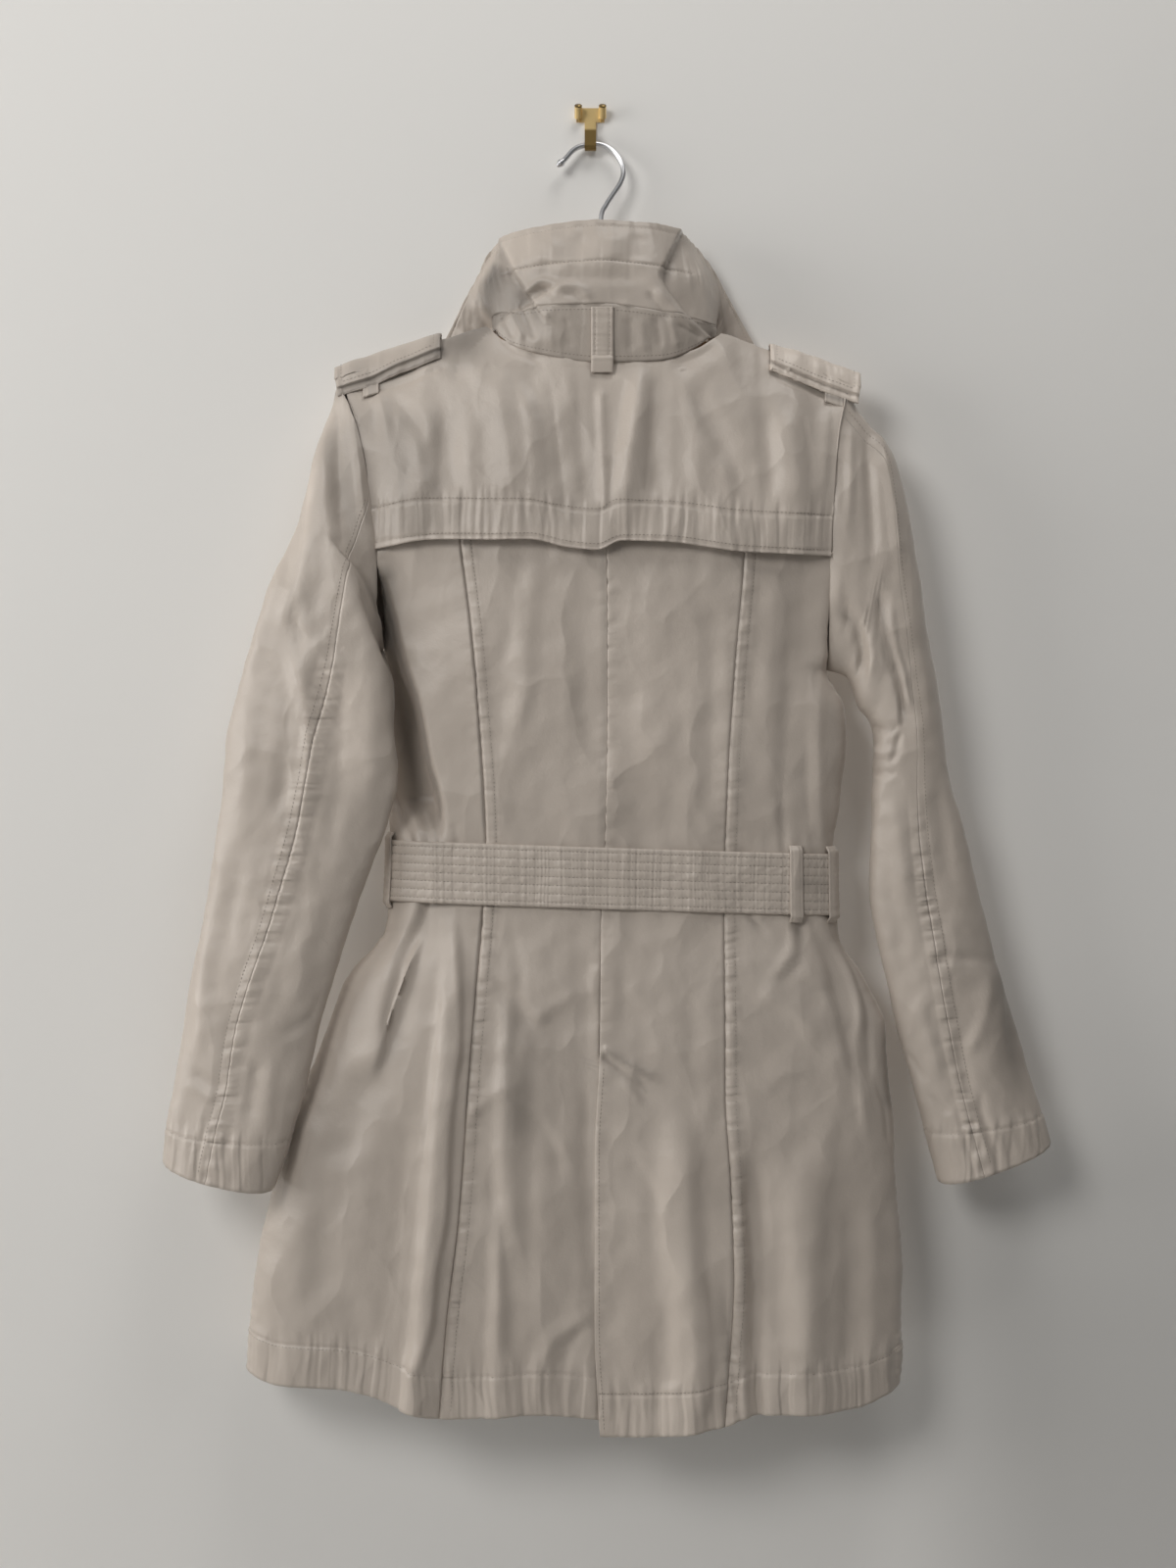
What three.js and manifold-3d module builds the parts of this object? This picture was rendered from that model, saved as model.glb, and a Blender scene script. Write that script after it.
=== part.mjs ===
// A trench coat that hangs, back outward, from a clothes hanger on a small brass wall hook.
// Millimetres, +Z up. The origin is on the wall side of the hook plate, +Y points into the wall and
// +X to the right of someone who faces the wall.
import * as THREE from "three";
import { mergeVertices } from "three/addons/utils/BufferGeometryUtils.js";
import Module from "manifold-3d";

const wasm = await Module();
wasm.setup();

// ---- Driving sizes
const clothWall = 1.2;
const collarWall = 2.4;
const beltWall = 2.4;
const seamGap = 0.3;
const half = seamGap / 2;
const layerGap = 0.5;
const ridgeY = -37; // the shoulder line, over the hanger's arms
const armholeReach = 25; // from the shoulder line back, and forward, to the armhole's widest
const shoulderRound = 62; // height over which the cloth turns down from the shoulder
const beltHeight = 47;
const waistZ = -600; // a height at the belt, where places round the waist are read
const ventTop = -735;
const ventUnderlap = 32;
const ventStep = 2.6; // how far the lower layer lies behind the upper one
const ventMouth = 14; // height over which the lower layer widens at the vent's top
const hangerArm = { width: 11, height: 21, drop: 6, left: -176, right: 184 };
const hookWire = 3.9;

// ---- Looks
const looks = {
  cloth: { color: 0xa89e94, roughness: 0.62, metalness: 0 },
  plastic: { color: 0x8d8378, roughness: 0.4, metalness: 0 },
  wood: { color: 0xb08a5c, roughness: 0.55, metalness: 0 },
  steel: { color: 0x9a9a98, roughness: 0.25, metalness: 1 },
  brass: { color: 0xb8924a, roughness: 0.3, metalness: 1 },
};

// ---- Tables: a row for each height, station or fold, read by column name
function table(names, rows) {
  const columns = names.split(" ");
  return rows.map((row) => Object.fromEntries(columns.map((name, i) => [name, row[i]])));
}

// Smooth values through a table's rows, without overshoot between them.
function curve(rows, key, name) {
  const sorted = [...rows].sort((a, b) => a[key] - b[key]);
  const at = sorted.map((row) => row[key]);
  const value = sorted.map((row) => row[name]);
  const rise = at.slice(1).map((x, i) => (value[i + 1] - value[i]) / (x - at[i]));
  const slope = at.map((x, i) => {
    if (i === 0 || i === at.length - 1) return rise[Math.min(i, rise.length - 1)];
    if (rise[i - 1] * rise[i] <= 0) return 0;
    return (2 * rise[i - 1] * rise[i]) / (rise[i - 1] + rise[i]);
  });
  return (x) => {
    if (x <= at[0]) return value[0];
    if (x >= at[at.length - 1]) return value[at.length - 1];
    const i = at.findIndex((end) => end > x) - 1;
    const h = at[i + 1] - at[i];
    const t = (x - at[i]) / h;
    const bend = h * t * (1 - t);
    const line = value[i] + (value[i + 1] - value[i]) * t * t * (3 - 2 * t);
    return line + bend * ((1 - t) * slope[i] - t * slope[i + 1]);
  };
}

const clamp = THREE.MathUtils.clamp;
const mix = THREE.MathUtils.lerp;
const step = THREE.MathUtils.smoothstep;

// The shoulder line, and the line that it would follow across the open neck.
const ridge = curve(table("x z", [
  [-194, -213], [-154, -200], [-112, -187], [-78, -177], [10, -169],
  [99, -182], [138, -196], [173, -207], [202, -217],
]), "x", "z");

// The neck seam at the back, between the two side neck points, and at the front.
const backNeck = curve(table("x z", [
  [-78, -179], [-66, -189], [-40, -197], [-2, -203], [43, -203], [77, -197], [99, -184],
]), "x", "z");
const frontNeck = curve(table("x z", [
  [-78, -192], [-68, -229], [-42, -254], [11, -272], [64, -256], [90, -229], [101, -196],
]), "x", "z");
const neckLeft = -78;
const neckRight = 99;

// The body at each height: its left and right edges (armhole seams above the armpits, side seams below),
// the depth of each side seam, and how far the back and the front stand from the wall.
const body = table("z left right leftY rightY back front", [
  [-213, -194, 202, -37, -37, -60, -12],
  [-230, -188, 198, -36, -37, -62, -11],
  [-260, -178, 191, -35, -37, -66, -10],
  [-300, -171, 187, -34, -37, -70, -9],
  [-350, -165, 184, -32, -37, -72, -9],
  [-390, -161, 183, -31, -37, -72, -9],
  [-424, -161, 183, -30, -37, -72, -9],
  [-441, -163, 183, -21, -37, -72, -9],
  [-456, -164, 189, -20, -37, -72, -9],
  [-470, -164, 196, -20, -36, -72, -9],
  [-500, -163, 198, -21, -35, -71, -9],
  [-540, -160, 194, -21, -34, -69, -11],
  [-576, -156, 189, -23, -34, -66, -14],
  [-640, -159, 190, -24, -34, -66, -14],
  [-683, -191, 212, -26, -35, -72, -11],
  [-720, -205, 228, -28, -37, -75, -9],
  [-770, -224, 232, -30, -38, -79, -9],
  [-840, -246, 237, -32, -40, -83, -9],
  [-912, -260, 241, -33, -41, -85, -9],
  [-1024, -271, 237, -34, -42, -86, -9],
]);
const bodyCurve = Object.fromEntries(
  ["left", "right", "leftY", "rightY", "back", "front"].map((name) => [name, curve(body, "z", name)]),
);
const armholes = {
  left: { top: -213, bottom: -424 },
  right: { top: -217, bottom: -441 },
};
const bodyRound = 3.2;

// Seams down the back.
const seams = {
  princessLeft: curve(table("z x", [
    [-230, -108], [-345, -99], [-411, -91], [-456, -87], [-576, -80], [-623, -82], [-722, -90],
    [-855, -99], [-933, -108], [-1010, -114],
  ]), "z", "x"),
  centre: curve(table("z x", [
    [-200, 11], [-456, 13], [-578, 11], [-640, 8], [-731, 7], [-812, 3], [-936, 3], [-1021, 7],
  ]), "z", "x"),
  princessRight: curve(table("z x", [
    [-230, 124], [-359, 117], [-439, 110], [-541, 104], [-629, 102], [-766, 102], [-832, 106],
    [-902, 108], [-1019, 101],
  ]), "z", "x"),
};

// Lower edges.
const hems = {
  left: curve(table("x z", [
    [-271, -979], [-234, -987], [-194, -987], [-168, -991], [-140, -1001], [-108, -1008], [-40, -1005],
    [6, -1009],
  ]), "x", "z"),
  right: curve(table("x z", [
    [3, -1021], [40, -1021], [97, -1015], [121, -1007], [200, -1003], [227, -995], [240, -989],
  ]), "x", "z"),
  front: curve(table("x z", [[-271, -974], [0, -990], [240, -984]]), "x", "z"),
  flap: curve(table("x z", [
    [-166, -350], [-121, -344], [-76, -345], [-46, -345], [-17, -351], [5, -353], [24, -346],
    [58, -347], [117, -354], [184, -356],
  ]), "x", "z"),
};

// The largest folds of the back: each runs from its top to its bottom and raises the cloth, or lowers it.
// Its two flanks have widths of their own, so a fold can end in an edge.
const folds = table("top bottom topX bottomX leftWidth rightWidth rise", [
  [-215, -345, 40, 24, 16, 14, 4],
  [-215, -330, -42, -30, 26, 12, 3.5],
  [-235, -345, -122, -128, 22, 12, 4],
  [-240, -345, 150, 158, 20, 14, 4],
  [-640, -760, -130, -170, 40, 8, 9],
  [-640, -1030, -106, -136, 9, 22, 8],
  [-660, -1030, -60, -72, 12, 24, 5],
  [-760, -1030, 70, 78, 30, 16, 6],
  [-640, -770, 176, 208, 8, 26, -7],
  [-800, -1030, 152, 170, 26, 34, 8],
  [-800, -1030, 122, 126, 10, 12, -7],
]);

// The left back side sinks behind a long fold edge, which gives the sleeve its room.
const sunkEdge = curve(table("z x", [
  [-360, -163], [-380, -153], [-440, -139], [-469, -128], [-508, -120], [-550, -110], [-574, -108],
]), "z", "x");
const sunkLeft = 9; // how far the sunk cloth still stands back from the side seam
const sunkFlank = 10;

function foldRise(x, z) {
  let rise = 0;
  for (const fold of folds) {
    const t = (z - fold.top) / (fold.bottom - fold.top);
    if (t <= 0 || t >= 1) continue;
    const away = x - mix(fold.topX, fold.bottomX, t);
    const width = away < 0 ? fold.leftWidth : fold.rightWidth;
    if (Math.abs(away) >= width) continue;
    const fade = step(t, 0, 0.25) * (fold.bottom < -1024 ? 1 : 1 - step(t, 0.75, 1));
    rise += fold.rise * fade * 0.5 * (1 + Math.cos((Math.PI * away) / width));
  }
  return rise;
}

function sunk(x, z) {
  const fade = step(z, -576, -540) * (1 - step(z, -410, -365));
  return fade * (1 - step(x, sunkEdge(z) - sunkFlank, sunkEdge(z)));
}

// How far round an armhole's oval a height lies: 0 at its ends, 1 at its middle.
function armholeArc(z, hole) {
  const half = (hole.top - hole.bottom) / 2;
  const middle = (hole.top + hole.bottom) / 2;
  return Math.sqrt(Math.max(0, 1 - ((z - middle) / half) ** 2));
}

// Where the body lies at a place across (-1 the left edge, 1 the right) and a height.
// side is -1 for the back and 1 for the front.
function bodyPoint(across, z, side) {
  const left = bodyCurve.left(z);
  const right = bodyCurve.right(z);
  const x = mix(left, right, (across + 1) / 2);
  const hole = across < 0 ? armholes.left : armholes.right;
  const seamY = across < 0 ? bodyCurve.leftY(z) : bodyCurve.rightY(z);
  const arc = armholeArc(z, hole);
  const edgeY = seamY + side * armholeReach * arc;
  const reach = side < 0 ? bodyCurve.back(z) : bodyCurve.front(z);
  const fullness = (1 - Math.abs(across) ** bodyRound) ** (1 / mix(bodyRound, 1, Math.min(1, 2 * arc)));
  const below = clamp((ridge(x) - z) / shoulderRound, 0, 1);
  const arch = Math.sqrt(1 - (1 - below) ** 2);
  const middleY = mix(ridgeY, reach, arch);
  let y = mix(edgeY, middleY, fullness) + side * half;
  if (side < 0) {
    y = mix(y, Math.max(y, seamY - sunkLeft * fullness), sunk(x, z));
    y -= foldRise(x, z) * fullness;
  }
  return new THREE.Vector3(x, y, z);
}

function acrossAt(x, z) {
  const left = bodyCurve.left(z);
  const right = bodyCurve.right(z);
  return clamp((2 * x - left - right) / (right - left), -1, 1);
}

// Places across are spread so that the rounded sides get as many points as the flat back.
function spread(from, to, u) {
  const turn = (a) => Math.acos(clamp(a, -1, 1));
  return Math.cos(mix(turn(from), turn(to), u));
}

// ---- Solids
const coat = new THREE.Group();

function addMesh(name, geometry, look) {
  const mesh = new THREE.Mesh(geometry, new THREE.MeshStandardMaterial(look));
  mesh.name = name;
  coat.add(mesh);
  return mesh;
}

// The direction out of the cloth at (u, v), from the surface's own slopes. At an edge that is cut upright, it
// is the direction out of the edge's own line in the YZ plane.
function normalAt(point, u, v, around, outward, upright) {
  const nudge = 1e-4;
  const wrap = (value) => (around ? value : clamp(value, 0, 1));
  const across = point(wrap(u + nudge), v).sub(point(wrap(u - nudge), v));
  if (upright) return new THREE.Vector3(0, across.z, -across.y).normalize();
  const down = point(u, Math.min(v + nudge, 1)).sub(point(u, Math.max(v - nudge, 0)));
  return down.cross(across).normalize().multiplyScalar(outward);
}

// A wall of cloth whose outer face follows point(u, v), with v from its top edge down. outward is 1 where u
// runs to the left of someone inside the garment, and -1 where it runs the other way. uprightTop cuts the top
// edge square to an upright piece that it is sewn to.
function clothWallGeometry(point, options) {
  const { across, down, wall = clothWall, outward = 1, around = false, uprightTop = false } = options;
  const columns = around ? across : across + 1;
  const rows = down + 1;
  const outer = [];
  const inner = [];
  for (let j = 0; j < rows; j++) {
    for (let i = 0; i < columns; i++) {
      const [u, v] = [i / across, j / down];
      const normal = normalAt(point, u, v, around, outward, uprightTop && j === 0);
      outer.push(point(u, v));
      inner.push(point(u, v).addScaledVector(normal, -wall));
    }
  }
  const positions = [...outer, ...inner].flatMap((p) => [p.x, p.y, p.z]);
  const faces = [];
  const quad = (a, b, c, d) => (outward > 0 ? faces.push(a, b, c, a, c, d) : faces.push(a, c, b, a, d, c));
  const inside = outer.length;
  for (let j = 0; j < down; j++) {
    for (let i = 0; i < across; i++) {
      const next = (i + 1) % columns;
      const [above, below] = [j * columns, (j + 1) * columns];
      const [a, b, c, d] = [above + i, below + i, below + next, above + next];
      quad(a, b, c, d);
      quad(inside + a, inside + d, inside + c, inside + b);
    }
  }
  for (let i = 0; i < across; i++) {
    const next = (i + 1) % columns;
    const last = down * columns;
    quad(i, next, inside + next, inside + i);
    quad(last + i, inside + last + i, inside + last + next, last + next);
  }
  for (let j = 0; j < down && !around; j++) {
    const [a, b] = [j * columns, (j + 1) * columns];
    quad(a, inside + a, inside + b, b);
    quad(a + across, b + across, inside + b + across, inside + a + across);
  }
  const geometry = new THREE.BufferGeometry();
  geometry.setAttribute("position", new THREE.Float32BufferAttribute(positions, 3));
  geometry.setIndex(faces);
  return geometry;
}

function solidOf(geometry) {
  const bare = geometry.clone();
  bare.deleteAttribute("normal");
  bare.deleteAttribute("uv");
  const merged = mergeVertices(bare, 1e-4);
  return new wasm.Manifold(new wasm.Mesh({
    numProp: 3,
    vertProperties: new Float32Array(merged.attributes.position.array),
    triVerts: new Uint32Array(merged.index.array),
  }));
}

function geometryOf(solid) {
  const mesh = solid.getMesh();
  const geometry = new THREE.BufferGeometry();
  geometry.setAttribute("position", new THREE.Float32BufferAttribute(Array.from(mesh.vertProperties), 3));
  geometry.setIndex(Array.from(mesh.triVerts));
  return geometry;
}

function box(width, depth, height, x, y, z) {
  return new THREE.BoxGeometry(width, depth, height).translate(x, y, z);
}

// ---- Back panels, from the shoulder or neck seam down to the hem
const rowLevels = [
  -178, -180, -185, -195, -212, -235, -262, -295, -335, -375, -410, -441, -475, -510, -545, -576, -606,
  -640, -665, -700, -735, -780, -835, -890, -950, -1005,
];
const topLevel = rowLevels[0];
const bottomLevel = rowLevels[rowLevels.length - 1];
const freeRows = { from: -340, to: -835 }; // between these the rows follow neither the shoulder nor the hem

function panelPoint(edgeFrom, edgeTo, topOf, bottomOf, side, sink = () => 0) {
  return (u, v) => {
    const place = v * (rowLevels.length - 1);
    const row = Math.min(Math.floor(place), rowLevels.length - 2);
    const level = mix(rowLevels[row], rowLevels[row + 1], place - row);
    const nearTop = step(level, freeRows.from, topLevel);
    const nearBottom = 1 - step(level, bottomLevel, freeRows.to);
    let z = level;
    let across = 0;
    for (let pass = 0; pass < 3; pass++) {
      across = spread(acrossAt(edgeFrom(z), z), acrossAt(edgeTo(z), z), u);
      const x = mix(bodyCurve.left(z), bodyCurve.right(z), (across + 1) / 2);
      z = level + (topOf(x) - topLevel) * nearTop + (bottomOf(x) - bottomLevel) * nearBottom;
    }
    const p = bodyPoint(across, z, side);
    p.y += sink(p.x, p.z);
    return p;
  };
}

const backTop = (x) => (x > neckLeft && x < neckRight ? Math.min(ridge(x), backNeck(x)) : ridge(x)) - half;
const leftSide = bodyCurve.left;
const rightSide = bodyCurve.right;

// Below the vent's top the left panel runs on under the right one.
function centreLeftEdge(z) {
  return seams.centre(z) - half + ventUnderlap * (1 - step(z, ventTop - ventMouth, ventTop));
}

function ventSink(x, z) {
  const reached = step(x, seams.centre(z) - ventUnderlap - 12, seams.centre(z) - 14);
  return ventStep * reached * (1 - step(z, ventTop + 45, ventTop + 100));
}

function addBack() {
  const { princessLeft, centre, princessRight } = seams;
  const panels = [
    ["back_side_left", leftSide, (z) => princessLeft(z) - half, hems.left, 8],
    ["back_centre_left", (z) => princessLeft(z) + half, centreLeftEdge, hems.left, 7, ventSink],
    ["back_centre_right", (z) => centre(z) + half, (z) => princessRight(z) - half, hems.right, 7],
    ["back_side_right", (z) => princessRight(z) + half, rightSide, hems.right, 8],
  ];
  for (const [name, from, to, hem, across, sink] of panels) {
    const point = panelPoint(from, to, backTop, hem, -1, sink);
    addMesh(name, clothWallGeometry(point, { across, down: rowLevels.length - 1 }), looks.cloth);
  }
}

// ---- Fronts, the right one closed over the left
const overlap = { rightFront: -28, leftFront: 48, bend: 34, clear: 14 };

function addFronts() {
  const inNeck = (x) => x > neckLeft && x < neckRight;
  const frontTop = (x) => (inNeck(x) ? Math.min(ridge(x), frontNeck(x)) : ridge(x)) - half;
  const [bendFrom, bendTo] = [overlap.clear + overlap.bend, overlap.clear].map((d) => overlap.rightFront - d);
  const underRight = (x) => -(clothWall + layerGap + seamGap) * step(x, bendFrom, bendTo);
  const panels = [
    ["front_left", leftSide, () => overlap.leftFront, 9, underRight],
    ["front_right", () => overlap.rightFront, rightSide, 9],
  ];
  for (const [name, from, to, across, sink] of panels) {
    const point = panelPoint(from, to, frontTop, hems.front, 1, sink);
    const options = { across, down: rowLevels.length - 1, outward: -1 };
    addMesh(name, clothWallGeometry(point, options), looks.cloth);
  }
}

// ---- What lies on the back is made from its points, moved out along its normal.
function outFrom(x, z, distance, side = -1) {
  const nudge = 0.02;
  const at = (dx, dz) => bodyPoint(acrossAt(x + dx, z + dz), z + dz, side);
  const across = at(nudge, 0).sub(at(-nudge, 0));
  const down = at(0, -nudge).sub(at(0, Math.min(nudge, ridge(x) - z)));
  const normal = down.cross(across).normalize().multiplyScalar(-side);
  return at(0, 0).addScaledVector(normal, distance);
}

// The storm flap starts under the neck seam, a little lower where the collar stands, and lifts off the back
// towards its edge.
const flapLift = { top: clothWall + 1.4, bottom: 8, sideGap: 0.6, neckDrop: 0.9, neckBlend: 20 };

function flapPoint(u, v) {
  const { sideGap, neckDrop, neckBlend } = flapLift;
  const left = (x) => step(x, neckLeft - neckBlend, neckLeft);
  const inNeck = (x) => left(x) * (1 - step(x, neckRight, neckRight + neckBlend));
  let z = -260;
  let x = 0;
  for (let pass = 0; pass < 3; pass++) {
    x = mix(bodyCurve.left(z) + sideGap, bodyCurve.right(z) - sideGap, u);
    z = mix(backTop(x) - seamGap - neckDrop * inNeck(x), hems.flap(x), v ** 1.7);
  }
  const p = outFrom(x, z, mix(flapLift.top, flapLift.bottom, v ** 1.5));
  p.x = clamp(p.x, bodyCurve.left(p.z) + sideGap, bodyCurve.right(p.z) - sideGap);
  return p;
}

// ---- Sleeves: rings from the armhole to the cuff, each from its outer to its inner edge
const ringColumns = "outX outZ outY inX inZ inY half seam sag";
const sleeves = {
  left: table(ringColumns, [
    [-194, -213, -37, -161, -424, -30, 25, 96, 0],
    [-203, -225, -37, -165, -426, -34, 26, 98, 0],
    [-208, -247, -38, -163, -431, -40, 26, 100, 0],
    [-212, -276, -41, -157, -440, -48, 25, 102, 0],
    [-218, -310, -45, -151, -454, -54, 24, 103, 0],
    [-236, -353, -49, -150, -473, -57, 22, 102, 0],
    [-249, -383, -52, -150, -492, -58, 21, 100, 1],
    [-260, -421, -52, -148, -515, -57, 21, 98, 1],
    [-270, -456, -53, -149, -534, -58, 21, 94, 2],
    [-280, -496, -54, -155, -559, -58, 20, 90, 2],
    [-283, -534, -54, -164, -584, -59, 20, 89, 2],
    [-289, -579, -55, -173, -609, -60, 20, 88, 3],
    [-296, -631, -56, -184, -639, -61, 20, 86, 3],
    [-305, -672, -57, -196, -678, -62, 20, 82, 3],
    [-312, -717, -58, -208, -719, -63, 20, 80, 4],
    [-318, -759, -60, -217, -760, -65, 20, 78, 5],
    [-323, -786, -61, -225, -791, -67, 21, 77, 6],
    [-326, -816, -62, -240, -836, -68, 22, 76, 7],
  ]),
  right: table(ringColumns, [
    [202, -217, -37, 183, -441, -37, 25, 84, 0],
    [218, -241, -38, 191, -443, -38, 26, 78, 0],
    [229, -260, -39, 199, -446, -39, 26, 72, 0],
    [237, -283, -40, 203, -456, -40, 25, 68, 0],
    [247, -325, -41, 208, -471, -41, 24, 66, 0],
    [255, -371, -42, 217, -483, -42, 23, 65, 0],
    [261, -416, -42, 220, -503, -42, 22, 66, 1],
    [270, -465, -42, 219, -526, -42, 21, 70, 1],
    [277, -522, -42, 217, -560, -42, 21, 78, 2],
    [289, -564, -42, 216, -591, -42, 20, 84, 2],
    [297, -601, -42, 216, -617, -42, 20, 88, 2],
    [306, -635, -42, 220, -644, -42, 20, 92, 3],
    [318, -682, -42, 230, -686, -42, 20, 93, 3],
    [329, -714, -42, 238, -724, -42, 20, 95, 3],
    [340, -754, -42, 248, -758, -42, 20, 98, 4],
    [347, -777, -42, 256, -787, -42, 21, 101, 5],
    [355, -806, -42, 268, -836, -42, 22, 102, 6],
  ]),
};
const frontSeamTurn = 285;
const ringRound = 2.3;
const armholeGap = 0.9;
const headShare = 0.18; // the part of the sleeve's length that turns from the armhole to the arm

function sleevePoint(rows, side) {
  const keyed = rows.map((row, i) => ({ ...row, at: i / (rows.length - 1) }));
  const read = Object.fromEntries(ringColumns.split(" ").map((name) => [name, curve(keyed, "at", name)]));
  const armX = bodyCurve[side];
  const outward = side === "left" ? -1 : 1;
  return (turn, v) => {
    const round = mix(2, ringRound, step(v, 0, headShare));
    const soft = (value) => Math.sign(value) * Math.abs(value) ** (2 / round);
    const c = soft(Math.cos(THREE.MathUtils.degToRad(turn)));
    const s = soft(Math.sin(THREE.MathUtils.degToRad(turn)));
    const t = (1 + c) / 2;
    const z = mix(read.inZ(v), read.outZ(v), t) - read.sag(v) * s;
    const straightX = mix(read.inX(v), read.outX(v), t);
    const turned = Math.sin((Math.PI / 2) * Math.min(1, v / headShare));
    const x = mix(armX(z) + outward * armholeGap, straightX, turned);
    return new THREE.Vector3(x, mix(read.inY(v), read.outY(v), t) - read.half(v) * s, z);
  };
}

function addSleeves() {
  const gapTurn = 0.35;
  for (const side of ["left", "right"]) {
    const rows = sleeves[side];
    const point = sleevePoint(rows, side);
    const seam = curve(rows.map((row, i) => ({ at: i / (rows.length - 1), seam: row.seam })), "at", "seam");
    const pieces = [
      [`top_sleeve_${side}`, () => frontSeamTurn - 360 + gapTurn, (v) => seam(v) - gapTurn],
      [`under_sleeve_${side}`, (v) => seam(v) + gapTurn, () => frontSeamTurn - gapTurn],
    ];
    for (const [name, from, to] of pieces) {
      const grid = (u, v) => point(mix(from(v), to(v), u), v);
      const outward = side === "left" ? 1 : -1;
      const options = { across: 7, down: 16, outward, uprightTop: true };
      addMesh(name, clothWallGeometry(grid, options), looks.cloth);
    }
  }
}

// ---- Collar: stations round the neck, from the left front end to the right one
const collar = table("neckX neckY neckZ rollX rollY rollZ edgeX edgeY edgeZ", [
  [-42, -11, -249, -50, -10, -228, -122, -11, -194],
  [-69, -17, -197, -70, -16, -183, -110, -12, -170],
  [-76, -36, -175, -77, -30, -165, -93, -13, -137],
  [-73, -47, -179, -72, -47, -165, -80, -17, -111],
  [-61, -56, -190, -58, -59, -166, -70, -30, -103],
  [-38, -61, -197, -38, -65, -165, -42, -50, -101],
  [7, -63, -203, 7, -68, -164, 7, -57, -97],
  [52, -62, -202, 51, -67, -169, 44, -52, -98],
  [79, -57, -193.5, 78, -61, -172, 70, -36, -98],
  [94, -48, -183, 94, -49, -174, 80, -22, -103],
  [98, -36, -180, 99, -30, -172, 94, -15, -121],
  [90, -17, -199, 91, -16, -186, 112, -12, -152],
  [63, -11, -251, 70, -10, -232, 134, -11, -191],
]);

function collarPoint(from, to, bulge) {
  const keyed = collar.map((row, i) => ({ ...row, at: i / (collar.length - 1) }));
  const line = (name) => ["X", "Y", "Z"].map((axis) => curve(keyed, "at", name + axis));
  const [low, high] = [line(from), line(to)];
  return (u, v) => {
    const [x, y, z] = low.map((read, i) => mix(high[i](u), read(u), v));
    const away = new THREE.Vector2(x - 11, (y + 33) * 2).normalize();
    const swell = bulge * Math.sin(Math.PI * v);
    return new THREE.Vector3(x + away.x * swell, y + away.y * swell, z);
  };
}

function addCollar() {
  const stand = collarPoint("neck", "roll", 0.5);
  const seamShare = 0.055; // what the seam takes off the stand's top
  const standGrid = (u, v) => stand(u, mix(seamShare, 1, v));
  const standSize = { across: 24, down: 3, wall: collarWall };
  addMesh("collar_stand", clothWallGeometry(standGrid, standSize), looks.cloth);
  const fall = collarPoint("roll", "edge", 4);
  addMesh("collar_fall", clothWallGeometry(fall, { across: 32, down: 5, wall: collarWall }), looks.cloth);
}

// ---- Epaulettes and their keepers, over the shoulder line
const epaulette = {
  wall: 2.6, lift: 8.8, backReach: 22, frontReach: 19, bendLeft: -172, bendRight: 178,
};
const keeper = { lift: 5.6, width: 14, from: 5, to: 30 };
const epaulettes = {
  left: { outer: -193, inner: -114, keeperAt: -169 },
  right: { outer: 199, inner: 139, keeperAt: 188 },
};

// A point on the shoulder's arch, a distance along the cloth from its top: positive to the back. Past the
// last place where the cloth bends over the hanger, the arch runs straight on over the sleeve.
function archPoint(x, along, lift) {
  const side = along < 0 ? 1 : -1;
  const inside = clamp(x, epaulette.bendLeft, epaulette.bendRight);
  const stepLength = 0.1;
  let z = ridge(inside);
  let left = Math.abs(along);
  let here = bodyPoint(acrossAt(inside, z), z, side);
  while (left > 0) {
    const next = bodyPoint(acrossAt(inside, z - stepLength), z - stepLength, side);
    const length = next.distanceTo(here);
    z -= stepLength * Math.min(1, left / length);
    left -= length;
    here = next;
  }
  const p = outFrom(inside, z, lift, side);
  return p.setX(p.x + x - inside).setZ(p.z + ridge(x) - ridge(inside));
}

function addEpaulettes() {
  for (const side of ["left", "right"]) {
    const { outer, inner, keeperAt } = epaulettes[side];
    const [from, to] = side === "left" ? [outer, inner] : [inner, outer];
    const { frontReach, backReach, lift, wall } = epaulette;
    const strap = (u, v) => archPoint(mix(from, to, u), mix(-frontReach, backReach, v), lift);
    addMesh(`epaulette_${side}`, clothWallGeometry(strap, { across: 10, down: 8, wall }), looks.cloth);
    const band = (u, v) => {
      const x = keeperAt + keeper.width * (u - 0.5);
      return archPoint(x, mix(keeper.from, keeper.to, v), keeper.lift);
    };
    addMesh(`epaulette_keeper_${side}`, clothWallGeometry(band, { across: 3, down: 6 }), looks.cloth);
  }
}

// ---- Hanger tab: a strip down the back of the stand, ending in a small block on the flap
const tab = {
  x: 9, width: 17, top: -167, bottom: -216, topY: -69.8, lean: 0.12, wall: 1.6, block: 1.5, blockTop: -203,
  blockFlank: 3,
};

function addHangerTab() {
  const lean = (z) => tab.topY + (tab.top - z) * tab.lean;
  const strip = (u, v) => {
    const z = mix(tab.top, tab.bottom, v);
    const raised = tab.block * (1 - step(z, tab.blockTop - tab.blockFlank, tab.blockTop));
    return new THREE.Vector3(tab.x + tab.width * (u - 0.5), lean(z) - raised, z);
  };
  addMesh("hanger_tab", clothWallGeometry(strip, { across: 2, down: 16, wall: tab.wall }), looks.cloth);
}

// ---- Belt, round the waist, with its loops and buckle
const beltTop = (x) => -578 - 0.032 * x;

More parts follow.
